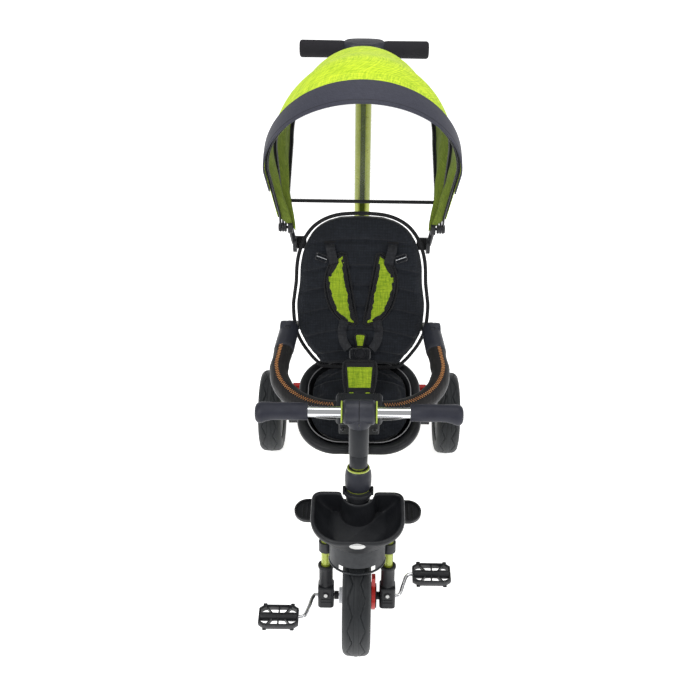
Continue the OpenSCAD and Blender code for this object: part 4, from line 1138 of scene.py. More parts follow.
# Hoops in their sleeves, from the eye on the pin to the top and down again
for node, body, lean, eye in (("canopy_rear_hoop", "seat", canopyLook["rearLean"], 0.1655),
                              ("canopy_mid_hoop", "canopy_mid", canopyLook["midLean"], 0.171),
                              ("canopy_front_hoop", "canopy_front", canopyLook["frontLean"], 0.1765)):
    rodPoints = [archPoint(lean, k / 40, 0.0052, 0.05) for k in range(-40, 41)]
    tilt = math.radians(lean)
    feet = [hoopPivot + Vector((side * eye, -0.004 * math.sin(tilt),
                                0.004 * math.cos(tilt))) for side in (-1, 1)]
    points = [feet[0]] + rodPoints + [feet[1]]
    hoopName = node.replace("canopy_", "").replace("_hoop", "Hoop")
    hoop = sweep(hoopName, points, circle(canopyLook["rod"], 12), blackGloss, up=(0, 1, 0.001))
    for side in (-1, 1):
        eyeRing = lathe(hoopName + "Eye" + "ab"[(side + 1) // 2],
                        [(-0.0022, 0.0032), (-0.0022, 0.0095), (-0.0012, 0.0101), (0.0012, 0.0101),
                         (0.0022, 0.0095), (0.0022, 0.0032)],
                        Matrix.Translation(hoopPivot + Vector((side * eye, 0, 0))) @ alongX,
                        blackPlastic, 40)
        eyeRing.parent = hoop
        # dark sleeve of cloth that holds the rod to the cover
    tapeRows = []
    for wideShift in (-1, -0.4, 0.4, 1):
        tapeRows.append([archPoint(lean + wideShift * 1.15, k / 50,
                                   0.0016 + 0.0016 * (1 - abs(wideShift)), 0.06)
                         for k in range(-50, 51)])
    tape = clothGrid(hoopName + "Tape", tapeRows, bindingCloth)
    tapeThick = tape.modifiers.new("thickness", "SOLIDIFY")
    tapeThick.thickness = 0.0008
    tapeThick.offset = 0
    tape.parent = hoop
    settle(hoop, body, "black_gloss", node)
print("hoops ready")

# Window net in the rear hoop with its binding bar
rearLean = canopyLook["rearLean"] - 0.35
netRows = []
windowFoot = 0.058
for k in range(25):
    t = k / 24
    s = windowFoot + (canopyLook["rise"] + canopyLook["rearTall"] - 0.0068 - windowFoot) * t
    if s > canopyLook["rise"]:
        lift = min(1.0, (s - canopyLook["rise"]) / (canopyLook["rearTall"] - 0.006))
        halfWidth = (canopyLook["rearWide"] - 0.006) * math.sqrt(max(0.0, 1 - lift * lift))
    else:
        halfWidth = canopyLook["rearWide"] - 0.006 - canopyLook["rearSlope"] * (canopyLook["rise"] - s)
    halfWidth = max(halfWidth, 0.0015)
    row = []
    for n in range(-24, 25):
        x = halfWidth * n / 24
        belly = 0.0025 * (1 - (n / 24) ** 2) * math.sin(math.pi * t)
        tilt = math.radians(rearLean)
        spot = Vector((x, -s * math.sin(tilt), s * math.cos(tilt)))
        row.append(hoopPivot + spot + Vector((0, belly, belly * 0.4)))
    netRows.append(row)
net = clothGrid("windowNet", netRows, windowCloth)
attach(net, "seat")
tilt = math.radians(canopyLook["rearLean"])
barHalf = canopyLook["rearWide"] - 0.004 - canopyLook["rearSlope"] * (canopyLook["rise"] - windowFoot)
barPath = [hoopPivot + Vector((barHalf * k / 12, -windowFoot * math.sin(tilt),
                               windowFoot * math.cos(tilt)))
           for k in range(-12, 13)]
bindingBar = sweep("windowBinding", barPath, circle(0.0048, 16, 0.75), bindingCloth, up=(0, 0.2, 1))
settle(bindingBar, "seat", "black_gloss")

# Brim: a stiff band with a rolled edge and a stitched line
brimLook = {"topLean": 11.4, "lowLean": 20.4, "topWide": 0.1972, "lowWide": 0.1966, "end": 0.124,
            "thick": 0.0018}


def brimPoint(share, down, outward=0.0):
    lean = brimLook["topLean"] + (brimLook["lowLean"] - brimLook["topLean"]) * down
    wide = brimLook["topWide"] + (brimLook["lowWide"] - brimLook["topWide"]) * down + outward
    arc = math.pi * wide / 2
    low = canopyLook["rise"] - brimLook["end"] + 0.022 * (1 - down) ** 2
    walk = abs(share) * (arc + low)
    if walk < arc:
        turn = math.pi / 2 - walk / wide
        x, s = wide * math.cos(turn), canopyLook["rise"] + wide * math.sin(turn)
    else:
        s = canopyLook["rise"] - (walk - arc)
        x = wide - 0.10 * (canopyLook["rise"] - s)
    turn = math.radians(lean)
    return hoopPivot + Vector((math.copysign(x, share), -s * math.sin(turn), s * math.cos(turn)))


brimRows = [[brimPoint(k / 60, row / 10, 0.0008 * math.sin(math.pi * row / 10)) for k in range(-60, 61)]
            for row in range(11)]
brim = clothGrid("brimBand", brimRows, brimCloth)
brimThick = brim.modifiers.new("thickness", "SOLIDIFY")
brimThick.thickness = brimLook["thick"]
brimThick.offset = 0
softEdges(brim, 0.0005, 2)
piping = sweep("brimPiping", [brimPoint(k / 60, 1.0) for k in range(-60, 61)], circle(0.0017, 10),
               brimCloth,
               up=(0, 1, 0.01))
inner = sweep("brimSeam", [brimPoint(k / 60, 0.87, 0.0011) for k in range(-59, 60)],
              circle(0.0006, 8), darkThread,
              up=(0, 1, 0.01))
upper = sweep("brimTopEdge", [brimPoint(k / 60, 0.0) for k in range(-60, 61)], circle(0.0013, 10),
              brimCloth,
              up=(0, 1, 0.01))
for extra in (piping, inner, upper):
    extra.parent = brim
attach(brim, "canopy_front")
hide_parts("canopy_brim")

# Seat: a bowl with a rolled rim on a turntable, with arms for the rail
seatLook = {"wide": 0.282, "long": 0.272, "corner": 0.092, "depth": 0.044}


def seatRing(shrink, z, extraCorner=0.0, place=None):
    place = seatPan if place is None else place
    halfX, halfY = seatLook["wide"] / 2 - shrink, seatLook["long"] / 2 - shrink
    corner = min(seatLook["corner"] - shrink * 0.6 + extraCorner, halfX - 0.001, halfY - 0.001)
    ring = []
    for signX, signY, start in ((1, 1, 0), (-1, 1, 90), (-1, -1, 180), (1, -1, 270)):
        for k in range(18):
            turn = math.radians(start + 90 * k / 18)
            ring.append(place @ Vector((signX * (halfX - corner) + corner * math.cos(turn),
                                        signY * (halfY - corner) + corner * math.sin(turn), z)))
    return ring


bowlSteps = [(0.060, -0.0405), (0.046, -0.040), (0.040, -0.036), (0.034, -0.026), (0.027, -0.012),
             (0.0225, -0.003),
             (0.0195, 0.0015), (0.0155, 0.0042), (0.0105, 0.0052), (0.0055, 0.0042), (0.0018, 0.0012),
             (0.0002, -0.0035), (0.0004, -0.009), (0.0035, -0.014), (0.006, -0.0155), (0.010, -0.022),
             (0.020, -0.033), (0.033, -0.0425), (0.040, -0.044)]
bowl = loft("seatBowl", [seatRing(shrink, z) for shrink, z in bowlSteps], blackPlastic, smoothAngle=50)
armLook = {"thick": 0.0095, "joint": 0.0185,
           "path": [(0.1545, 0.0, 0.0), (0.1565, 0.018, -0.004), (0.151, 0.038, -0.016),
                    (0.134, 0.045, -0.030),
                    (0.106, 0.040, -0.055), (0.062, 0.020, -0.078)]}
for side, tag in ((-1, "Left"), (1, "Right")):
    points = smoothPath([(side * x, railHinge.y + y, railHinge.z + z) for x, y, z in armLook["path"]],
                        6)
    arm = sweep("railArm" + tag, points, circle(armLook["thick"], 20), blackPlastic, up=(0, 0.3, 1))
    arm.parent = bowl
    joint = lathe("armJoint" + tag, [(0.0, 0.0), (0.0, armLook["joint"] - 0.001),
                                     (0.001, armLook["joint"]),
                                     (0.006, armLook["joint"]), (0.008, armLook["joint"] - 0.002),
                                     (0.008, 0.0)],
                  Matrix.Translation((side * 0.1535, railHinge.y, railHinge.z))
                  @ Matrix.Rotation(side * math.pi / 2, 4, "Y"), blackPlastic)
    joint.parent = bowl
rearPlate = roundedBlock("backPlate", (0.140, 0.114, 0.008),
                         back @ Matrix.Translation((0, 0.039, 0.033)) @ Matrix.Rotation(math.pi / 2,
                                                                                        4, "X"),
                         blackPlastic, 0.016, 0.002)
rearPlate.parent = bowl
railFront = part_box("guard_bar")[0].y
railRadius = boxSize("guard_bar").z / 2
railY = railFront + railRadius
postSeat = roundedBlock("postSeat", (0.038, 0.024, 0.034),
                        Matrix.Translation((0, railY + 0.013, 0.3285)),
                        blackPlastic, 0.006, 0.002)
postSeat.parent = bowl
boss = lathe("turntableBoss", [(0.0, 0.02), (0.0, 0.055), (0.004, 0.054), (0.016, 0.048),
                               (0.02, 0.03), (0.02, 0.0)],
             Matrix.Translation((0, swivel.y, swivel.z + 0.0005)), blackPlastic)
boss.parent = bowl
settle(bowl, "seat", "black_plastic", "seat_shell")
print("seat bowl ready")

# Seat cushion: stuffed, crowned, with a welt round it and a seam across
cushionLook = {"voxel": 0.005, "pressure": 4.0, "swell": 0.006, "welt": 0.0012}
cushionRings = [seatRing(shrink, z, 0.0) for shrink,
                z in ((0.062, -0.038), (0.052, -0.036), (0.042, -0.024),
                                                           (0.035, -0.010), (0.029, -0.001),
                                                           (0.0255, 0.0035),
                                                           (0.0295, 0.0075), (0.058, 0.0085))]
seatCushion = loft("seatCushion", cushionRings, seatCloth)
puff(seatCushion, cushionLook)
seatInverse = seatPan.inverted()
for vertex in seatCushion.data.vertices:
    local = seatInverse @ vertex.co
    if local.z > -0.012:
        outward = math.hypot(local.x / 0.116, local.y / 0.110)
        crown = 0.004 * max(0.0, 1 - outward ** 2)
        seam = abs(local.y - 0.060 + 1.6 * local.x ** 2)
        welt = abs(outward - 0.86)
        local.z += crown - 0.0035 * math.exp(-(seam / 0.004) ** 2)
        local.z -= 0.0022 * math.exp(-(welt / 0.035) ** 2)
        local.z += 0.0007 * noise.noise(local * 45)
        vertex.co = seatPan @ local
settle(seatCushion, "seat", "seat_fabric", "seat_cushion")
welt = sweep("seatWelt", seatRing(0.0225, 0.0065), circle(cushionLook["welt"], 10), palePiping,
             up=(0, 0, 1),
             closed=True)
settle(welt, "seat", "seat_fabric")
print("seat cushion ready")

# Back: a place with X across, Y up the back and Z out of its front
panel = Matrix((Vector((1, 0, 0)), backUp, -backOut)).transposed().to_4x4()
panel.translation = back.translation
backLook = {"voxel": 0.0055, "pressure": 4.5, "swell": 0.007, "rear": -0.021, "front": 0.006,
            "sides": [(0.0, 0.082), (0.012, 0.100), (0.030, 0.116), (0.060, 0.136), (0.095, 0.149),
                      (0.143, 0.153),
                      (0.172, 0.150), (0.202, 0.146), (0.232, 0.1445), (0.258, 0.141), (0.285, 0.133),
                      (0.309, 0.121), (0.330, 0.103), (0.346, 0.077), (0.355, 0.045)],
            "rows": [(0.301, 0.9), (0.241, 1.0), (0.195, 1.0), (0.146, 1.15), (0.091, 1.3),
                     (0.040, 1.3)],
            "groove": 0.0046, "grooveWidth": 0.0046}
halfBack = smoothPath([(0, 0.0, 0)] + [(x, h, 0) for h, x in backLook["sides"]] + [(0, 0.358, 0)], 4)
backOutline = [(p.x, p.y) for p in halfBack[1:-1]] + [(-p.x, p.y) for p in reversed(halfBack[1:-1])]
backCushion = plate("backCushion", backOutline, backLook["rear"], backLook["front"], panel, seatCloth,
                    0)
puff(backCushion, backLook)
panelInverse = panel.inverted()


def halfWidthAt(h):
    sides = backLook["sides"]
    for (h0, x0), (h1, x1) in zip(sides, sides[1:]):
        if h0 <= h <= h1:
            return x0 + (x1 - x0) * (h - h0) / (h1 - h0)
    return sides[-1][1] if h > 0.3 else sides[0][1]


for vertex in backCushion.data.vertices:
    local = panelInverse @ vertex.co
    if local.z > -0.006:
        inside = max(0.0, 1 - abs(local.x) / halfWidthAt(local.y))
        edge = min(1.0, inside / 0.12) * min(1.0, max(0.0, (0.362 - local.y) / 0.02))
        lift = 0.0
        for height, bend in backLook["rows"]:
            off = (local.y - (height - bend * local.x * local.x)) / backLook["grooveWidth"]
            lift -= backLook["groove"] * math.exp(-off * off)
            lift += 0.0013 * math.exp(-((abs(off) - 3.2) / 1.8) ** 2)
        lift += 0.0035 * edge
        lift += 0.0008 * noise.noise(Vector((local.x * 22, local.y * 40, 3)))
        local.z += lift * max(edge, 0.15)
        vertex.co = panel @ local
settle(backCushion, "seat", "seat_fabric", "back_cushion")
edgePath = [panel @ Vector((x * 1.006, 0.178 + (y - 0.178) * 1.006, 0.0015)) for x, y in backOutline]
edging = sweep("backBinding", edgePath, circle(0.0042, 12), bindingCloth, up=-backOut, closed=True)
settle(edging, "seat", "seat_fabric")

backTree = BVHTree.FromObject(backCushion, bpy.context.evaluated_depsgraph_get())


def onBack(x, h, above=0.0):
    # Point on the front of the back cushion, raised by above
    start = panel @ Vector((x, h, 0.2))
    found = backTree.ray_cast(start, backOut)[0]
    z = (panelInverse @ found).z if found else 0.012
    return panel @ Vector((x, h, max(z, 0.004) + above))


shellLook = {"rear": -0.0345, "front": -0.022}
shellOutline = [(x * 0.86, 0.178 + (y - 0.178) * 0.89) for x, y in backOutline]
backShell = plate("backShell", shellOutline, shellLook["rear"], shellLook["front"], panel,
                  blackPlastic, 0.004, 4)
for number, (x, y, w, h) in enumerate(((0, 0.30, 0.13, 0.004), (0, 0.27, 0.17, 0.004),
                                       (0, 0.24, 0.19, 0.004))):
    rib = roundedBlock("shellRib" + str(number), (w, h, 0.004),
                       panel @ Matrix.Translation((x, y, shellLook["rear"] - 0.0005)), blackPlastic,
                       0.0018, 0.0012)
    rib.parent = backShell
for number, (x, y) in enumerate(((-0.055, 0.010), (0.055, 0.010), (-0.055, 0.080), (0.055, 0.080))):
    head = screw("backScrew" + str(number),
                 back @ Matrix.Translation((x, 0.0352, y)) @ Matrix.Rotation(-math.pi / 2, 4, "X"),
                 0.005, steel)
    head.parent = bowl
settle(backShell, "seat", "black_gloss", "back_shell")
print("back ready")


# Harness: shoulder pads in dark binding, webbing, adjusters, buckle and crotch pad
def grown(outline, amount):
    count = len(outline)
    made = []
    for k in range(count):
        before, after = Vector(outline[k - 1]), Vector(outline[(k + 1) % count])
        along = (after - before).normalized()
        made.append((outline[k][0] + along.y * amount, outline[k][1] - along.x * amount))
    return made


def ribbon(name, path, wide, thick, finish, up):
    half, flat = wide / 2, thick / 2
    return sweep(name, path, [(half, -flat * 0.6), (half, flat * 0.6), (half * 0.94, flat),
                              (-half * 0.94, flat),
                              (-half, flat * 0.6), (-half, -flat * 0.6), (-half * 0.94, -flat),
                              (half * 0.94, -flat)], finish, up=up, smoothAngle=60)


padLook = {"voxel": 0.004, "pressure": 3.0, "swell": 0.0035,
           "curve": [(0.0405, 0.269), (0.051, 0.262), (0.065, 0.245), (0.0735, 0.222), (0.0755, 0.196),
                     (0.071, 0.168), (0.060, 0.141), (0.043, 0.121), (0.025, 0.111), (0.0125, 0.108)]}
outer = smoothPath([(x, h, 0) for x, h in padLook["curve"]], 5)
limeOutline = [(p.x, p.y) for p in reversed(outer)]
start, end = Vector(limeOutline[-1]), Vector(limeOutline[0])
limeOutline += [tuple(start.lerp(end, k / 14)) for k in range(1, 14)]
darkOutline = grown(limeOutline, 0.0062)
for side, tag in ((1, "Right"), (-1, "Left")):
    turned = panel @ Matrix.Diagonal((side, 1, 1, 1))
    base = plate("shoulderPad" + tag, darkOutline, 0.0135, 0.0205, turned, bindingCloth, 0)
    puff(base, padLook)
    lime = plate("shoulderPanel" + tag, limeOutline, 0.0185, 0.0225, turned, padCloth, 0)
    puff(lime, {"voxel": 0.0032, "pressure": 3.0, "swell": 0.0028})
    for vertex in lime.data.vertices:
        local = panelInverse @ vertex.co
        local.z += 0.0007 * math.sin(local.y * 150 + side) * noise.noise(local * 60)
        vertex.co = panel @ local
    for number, (line, radius, z) in enumerate(((darkOutline, 0.0022, 0.0180),
                                                (limeOutline, 0.0014, 0.0225))):
        trim = sweep("padTrim" + tag + str(number), [turned @ Vector((x, y, z)) for x, y in line],
                     circle(radius, 8), bindingCloth, up=-backOut, closed=True)
        trim.parent = base
    settle(lime, "seat", "lime_pad_fabric")
    if side > 0:
        settle(base, "seat", "lime_pad_fabric", "shoulder_pads")
    else:
        settle(base, "seat", "lime_pad_fabric")
    top = ribbon("strapTop" + tag, smoothPath([onBack(side * 0.070, 0.294, -0.006),
                                               onBack(side * 0.070, 0.290, 0.004),
                                               onBack(side * 0.0685, 0.282, 0.009),
                                               onBack(side * 0.065, 0.268, 0.010),
                                               onBack(side * 0.060, 0.250, 0.009)], 6),
                 0.020, 0.0016, webbingCloth, -backOut)
    low = ribbon("strapLow" + tag, smoothPath([onBack(side * 0.034, 0.122, 0.004),
                                               onBack(side * 0.040, 0.104, 0.003),
                                               onBack(side * 0.042, 0.086, 0.002),
                                               onBack(side * 0.038, 0.066, 0.006),
                                               onBack(side * 0.027, 0.052, 0.016)], 6),
                 0.020, 0.0016, webbingCloth, -backOut)
    # near-black slot where the strap enters the back: painted shade
    slit = roundedBlock("strapSlot" + tag, (0.026, 0.006, 0.003),
                        panel @ Matrix.Translation(panelInverse @ onBack(side * 0.070, 0.2945,
                                                                         -0.0008)), darkRecess,
                        0.0025, 0.0008)
    frameSpot = panelInverse @ onBack(side * 0.0885, 0.262, 0.006)
    buckleTurn = panel @ Matrix.Translation(frameSpot) @ Matrix.Rotation(side * 0.35, 4, "Z")
    ladder = sweep("adjuster" + tag, [buckleTurn @ Vector(p) for p in
                                      smoothPath([(-0.012, -0.007, 0), (0, -0.0074, 0),
                                                  (0.012, -0.007, 0),
                                                  (0.0124, 0, 0), (0.012, 0.007, 0), (0, 0.0074, 0),
                                                  (-0.012, 0.007, 0), (-0.0124, 0, 0)], 3, True)],
                   circle(0.0012, 8), blackGloss, up=-backOut, closed=True)
    rung = sweep("adjusterRung" + tag, [buckleTurn @ Vector((x, 0.0005, 0.0008)) for x in (-0.012, 0,
                                                                                           0.012)],
                 circle(0.0012, 8), steel, up=-backOut)
    rung.parent = ladder
    for piece in (top, low, slit, ladder):
        settle(piece, "seat", "black_gloss")
print("shoulder pads ready")

# Buckle: a waisted body with grip ridges round its button
buckleFlat = panel @ Matrix.Translation((0, 0.0405, 0.0252))
buckle = roundedBlock("buckleBody", (0.050, 0.031, 0.0245), buckleFlat, blackGloss, 0.008, 0.004)
recess = lathe("buttonRing", [(0.0, 0.0104), (0.0, 0.0128), (0.0012, 0.0124), (0.0014, 0.0112),
                              (0.0004, 0.0104)],
               panel @ Matrix.Translation((0, 0.043, 0.0374)), blackPlastic, 48)
recess.parent = buckle
for number, x in enumerate((-0.0205, -0.0175, 0.0175, 0.0205)):
    ridge = roundedBlock("buckleRidge" + str(number), (0.0014, 0.022, 0.0016),
                         panel @ Matrix.Translation((x, 0.043, 0.0375)), blackPlastic, 0.0005, 0.0004)
    ridge.parent = buckle
settle(buckle, "seat", "black_gloss", "buckle")
tagOutline = [(-0.0065, 0.0), (0.0065, 0.0), (0.0105, 0.024), (0.0075, 0.027), (-0.0075, 0.027),
              (-0.0105, 0.024)]
tagPlace = panel @ Matrix.Translation((0, 0.0570, (panelInverse @ onBack(0, 0.074)).z + 0.003))
tagPad = plate("limeTab", tagOutline, 0.0, 0.006, tagPlace, padCloth, 0.002)
tagEdge = sweep("limeTabEdge", [tagPlace @ Vector((x * 1.1, y * 1.03, 0.003)) for x, y in tagOutline],
                circle(0.0026, 8), bindingCloth, up=-backOut, closed=True)
tagEdge.parent = tagPad
settle(tagPad, "seat", "lime_pad_fabric")

# Crotch pad: a tongue that leans back from the seat to the buckle
tongueLook = {"voxel": 0.004, "pressure": 3.0, "swell": 0.0035, "lean": 46.0, "thick": 0.009}
tongue = seatPan @ Matrix.Translation((0, -0.018,
                                       0.0165)) @ Matrix.Rotation(math.radians(tongueLook["lean"]), 4,
                                                                  "X")
half = [(0.0, -0.002), (0.012, 0.0), (0.0205, 0.006), (0.0265, 0.017), (0.0310, 0.032), (0.0345, 0.050),
        (0.0362, 0.072), (0.0358, 0.090), (0.0335, 0.0975), (0.026, 0.1000), (0.0, 0.1005)]
tongueOutline = [(p.x, p.y) for p in smoothPath([(x, y, 0) for x, y in half], 4)]
tongueOutline += [(-x, y) for x, y in reversed(tongueOutline[1:-1])]
crotch = plate("crotchPad", tongueOutline, 0.0, tongueLook["thick"], tongue, bindingCloth, 0)
puff(crotch, tongueLook)
settle(crotch, "seat", "lime_pad_fabric", "crotch_pad")
edge = sweep("crotchTrim", [tongue @ Vector((x * 1.02, y, 0.0062)) for x, y in tongueOutline],
             circle(0.0030, 10),
             bindingCloth, up=(0, 0.3, 1), closed=True)
edge.parent = crotch
patches = [("limePanel", [(-0.0250, 0.040), (0.0250, 0.040), (0.0290, 0.0865), (0.0275, 0.0885),
                          (-0.0275, 0.0885),
                          (-0.0290, 0.0865)]),
           ("limeCornerRight", [(0.0125, 0.031), (0.0110, 0.020), (0.0135, 0.0125), (0.0200, 0.021),
                                (0.0245, 0.031)]),
           ("limeCornerLeft", [(-0.0245, 0.031), (-0.0200, 0.021), (-0.0135, 0.0125), (-0.0110, 0.020),
                               (-0.0125, 0.031)])]
for patchName, outline in patches:
    patch = plate(patchName, outline, tongueLook["thick"] - 0.001, tongueLook["thick"] + 0.0036,
                  tongue, padCloth,
                  0.0018)
    patchEdge = sweep(patchName + "Edge",
                      [tongue @ Vector((x, y, tongueLook["thick"] + 0.0026)) for x, y in outline],
                      circle(0.0013, 8), bindingCloth, up=(0, 0.3, 1), closed=True)
    patchEdge.parent = patch
    settle(patch, "seat", "lime_pad_fabric")
strapPath = smoothPath([tongue @ Vector(p) for p in ((0, 0.036, 0.0115), (0, 0.018, 0.0118),
                                                     (0, 0.004, 0.0105),
                                                     (0, -0.006, 0.0035), (0, -0.011, -0.006))], 6)
strap = ribbon("crotchStrap", strapPath, 0.021, 0.0018, webbingCloth, (0, -0.4, 1))
settle(strap, "seat", "black_gloss")
print("harness ready")

# Rail: a padded tube in a sewn cover with a zigzag seam and pale piping
railLook = {"corner": 0.125, "half": boxSize("guard_bar").x / 2 - railRadius, "side": 0.060,
            "slope": 0.1,
            "stitchPitch": 0.0052, "stitchLow": 92, "stitchHigh": 112, "thread": 0.0006, "pipe": 0.0011}
cornerX = railLook["half"] - railLook["corner"]
cornerY = railY + railLook["corner"]
rightSide = []
for k in range(17):
    rightSide.append(Vector((cornerX * k / 16, railY, railHinge.z)))
for k in range(1, 41):
    turn = math.pi / 2 * k / 40
    rightSide.append(Vector((cornerX + railLook["corner"] * math.sin(turn),
                             cornerY - railLook["corner"] * math.cos(turn),
                             railHinge.z)))
for k in range(1, 13):
    y = railLook["side"] * k / 12
    rightSide.append(Vector((railLook["half"] - railLook["slope"] * y, cornerY + y, railHinge.z)))
railPath = [Vector((-p.x, p.y, p.z)) for p in reversed(rightSide[1:])] + rightSide


def railShape(share):
    made = []
    for k in range(40):
        turn = 2 * math.pi * k / 40
        radius = railRadius - 0.0012 + 0.0006 * math.sin(share * 90) * math.cos(turn * 2)
        radius += 0.0006 * noise.noise(Vector((share * 30, math.cos(turn), math.sin(turn))))
        made.append((radius * math.cos(turn), radius * math.sin(turn)))
    return made


rail = sweep("railCover", railPath, railShape, railCloth)
settle(rail, "guard", "guard_cover", "guard_bar")


def onRail(path, i, degrees, radius):
    # Point on the tube beside path[i]; 0 degrees points in to the seat, 90 up
    along = (path[min(i + 1, len(path) - 1)] - path[max(i - 1, 0)]).normalized()
    inward = Vector((-along.y, along.x, 0)).normalized()
    turn = math.radians(degrees)
    return path[i] + inward * radius * math.cos(turn) + Vector((0, 0, 1)) * radius * math.sin(turn)


def evenPath(path, pitch):
    made, carry = [path[0]], 0.0
    for a, b in zip(path, path[1:]):
        length = (b - a).length
        walk = pitch - carry
        while walk <= length:
            made.append(a.lerp(b, walk / length))
            walk += pitch
        carry = length - (walk - pitch)
    return made


stitchLine = evenPath(railPath, railLook["stitchPitch"] / 2)
for tag, keep in (("Left", lambda p: p.x < -0.052), ("Right", lambda p: p.x > 0.052)):
    zigzag = []
    for i, point in enumerate(stitchLine):
        if keep(point):
            degrees = railLook["stitchLow"] if i % 2 else railLook["stitchHigh"]
            zigzag.append(onRail(stitchLine, i, degrees, railRadius + 0.0001))
    stitches = sweep("zigzag" + tag, zigzag, circle(railLook["thread"], 6), orangeThread,
                     up=(0, 0.1, 1))
    stitches.parent = rail
pipeLine = evenPath(railPath, 0.006)
railPiping = sweep("railPiping", [onRail(pipeLine, i, 205,
                                         railRadius - 0.0002) for i in range(len(pipeLine))],
                   circle(railLook["pipe"], 8), palePiping)
railPiping.parent = rail

for side, tag in ((-1, "Left"), (1, "Right")):
    x0 = side * (railLook["half"] - railLook["slope"] * railLook["side"])
    y0 = cornerY + railLook["side"]
    y1 = railHinge.y
    x1 = side * (railLook["half"] - railLook["slope"] * (y1 - cornerY))
    rings = []
    reach = railHinge.y - y0
    shape = [(-0.06, 0.0190), (-0.05, 0.0216), (-0.02, 0.0224), (0.10, 0.0226), (0.5, 0.0224),
             (0.9, 0.0220)]
    shape += [(1 + 0.0218 * math.sin(a) / reach,
               0.0218 * math.cos(a)) for a in [math.pi * k / 18 for k in range(9)]]
    for share, radius in shape + [(1 + 0.0218 / reach, 0.0003)]:
        middle = Vector((x0 + (x1 - x0) * share, y0 + reach * share, railHinge.z))
        rings.append([middle + Vector((radius * math.cos(2 * math.pi * k / 40), 0,
                                       radius * math.sin(2 * math.pi * k / 40))) for k in range(40)])
    cap = loft("railElbow" + tag, rings, greyPlastic, smoothAngle=50)
    knuckle = lathe("railKnuckle" + tag, [(-0.0060, 0.0), (-0.0060, 0.0195), (-0.0045, 0.0208),
                                          (0.0040, 0.0212),
                                          (0.0125, 0.0208), (0.0150, 0.0190), (0.0160, 0.0150),
                                          (0.0160, 0.0120),
                                          (0.0148, 0.0112), (0.0148, 0.0)],
                    Matrix.Translation((side * 0.1685, railHinge.y, railHinge.z))
                    @ Matrix.Rotation(side * math.pi / 2, 4, "Y"), greyPlastic)
    knuckle.parent = cap
    button = lathe("elbowButton" + tag, [(0, 0.0066), (0.0014, 0.0062), (0.0018, 0.0052),
                                         (0.0006, 0.0048),
                                         (0.0006, 0.0)],
                   Matrix.Translation((x0 + (x1 - x0) * 0.78, y0 + (y1 - y0) * 0.78,
                                       railHinge.z + 0.0212)), blackPlastic, 32)
    button.parent = cap
    if side < 0:
        settle(cap, "guard", "grey_plastic", "guard_elbows")
    else:
        settle(cap, "guard", "grey_plastic")
postLook = {"wide": boxSize("guard_post").x, "deep": 0.056, "tall": 0.044, "plateWide": 0.088,
            "plateDeep": 0.022, "neckWide": 0.036, "plateLow": 0.392}
postTop = roundedBlock("railPost", (postLook["wide"], postLook["deep"], postLook["tall"]),
                       Matrix.Translation((0, railY + 0.002, railHinge.z + 0.001)), hoodPlastic,
                       0.009, 0.006)
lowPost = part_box("guard_post")[0].z
for name, wide, low, high in (("postPlate", postLook["plateWide"], postLook["plateLow"],
                               railHinge.z - 0.015),
                              ("postNeck", postLook["neckWide"], lowPost,
                               postLook["plateLow"] + 0.005)):
    block = roundedBlock(name, (wide, postLook["plateDeep"], high - low),
                         Matrix.Translation((0, railY + 0.013, (low + high) / 2)), blackPlastic,
                         0.005, 0.003)
    block.parent = postTop
for side in (-1, 1):
    for number in range(4):
        rib = roundedBlock("postRib" + "ab"[(side + 1) // 2] + str(number), (0.0020, 0.050, 0.0020),
                           Matrix.Translation((side * (0.0285 + 0.0048 * number), railY + 0.002,
                                               railHinge.z + 0.0232)),
                           blackPlastic, 0.0008, 0.0007)
        rib.parent = postTop
    head = screw("postScrew" + "ab"[(side + 1) // 2],
                 Matrix.Translation((side * 0.034, railY + 0.002, 0.409))
                 @ Matrix.Rotation(math.pi / 2, 4, "X"), 0.0058, blackGloss)
    head.parent = postTop
settle(postTop, "guard", "black_plastic", "guard_post")
print("rail ready")

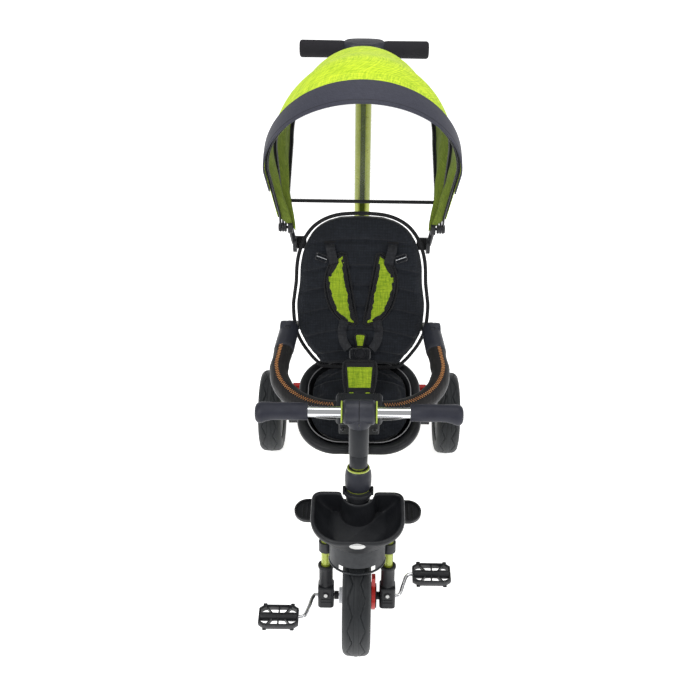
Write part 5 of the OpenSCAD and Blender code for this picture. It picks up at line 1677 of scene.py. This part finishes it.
# Floor, light and camera
stageLook = {"floor": 6.0, "colour": (0.95, 0.95, 0.95), "shade": (0.93, 0.93, 0.94)}
floorFinish, tree, shader = startFinish("studioFloor")
where = position(tree)
tree.links.new(between(tree, speckle(tree, where, 0.4), stageLook["colour"], stageLook["shade"]),
               shader.inputs["Base Color"])
shader.inputs["Roughness"].default_value = 0.9
shader.inputs["Specular IOR Level"].default_value = 0.1
shader.inputs["Emission Color"].default_value = (1, 1, 1, 1)
shader.inputs["Emission Strength"].default_value = 0.8
half = stageLook["floor"]
floor = addObject("studioFloor", [(-half, -half, 0), (half, -half, 0), (half, half, 0),
                                  (-half, half, 0)],
                  [(0, 1, 2, 3)], floorFinish)

world = bpy.data.worlds.new("softRoom")
scene.world = world
world.use_nodes = True
world.node_tree.nodes["Background"].inputs["Color"].default_value = (1, 1, 1, 1)
world.node_tree.nodes["Background"].inputs["Strength"].default_value = 0.45


def addLamp(name, place, target, size, power):
    lamp = bpy.data.lights.new(name, "AREA")
    lamp.shape = "DISK"
    lamp.size = size
    lamp.energy = power
    obj = bpy.data.objects.new(name, lamp)
    obj.location = place
    obj.rotation_euler = (Vector(target) - Vector(place)).to_track_quat("-Z", "Y").to_euler()
    scene.collection.objects.link(obj)
    return obj


middle = (0, 0, 0.5)
addLamp("keyLight", (-1.4, -1.6, 2.6), middle, 1.2, 30)
addLamp("fillLight", (1.8, -1.2, 2.0), middle, 1.6, 14)
addLamp("topLight", (0.2, 0.6, 3.0), middle, 1.8, 20)

cameraLook = {"place": (0, -1.3972, 1.779), "tilt": 48.21, "roll": 0.8, "lens": 45.03,
              "shift": (-0.0143, 0.003)}
lens = bpy.data.cameras.new("camera")
lens.lens = cameraLook["lens"]
lens.sensor_width = 36
lens.shift_x, lens.shift_y = cameraLook["shift"]
camera = bpy.data.objects.new("camera", lens)
camera.matrix_world = (Matrix.Translation(cameraLook["place"])
                       @ Matrix.Rotation(math.radians(cameraLook["tilt"]), 4, "X")
                       @ Matrix.Rotation(math.radians(cameraLook["roll"]), 4, "Z"))
scene.collection.objects.link(camera)
scene.camera = camera

scene.view_settings.view_transform = "Standard"
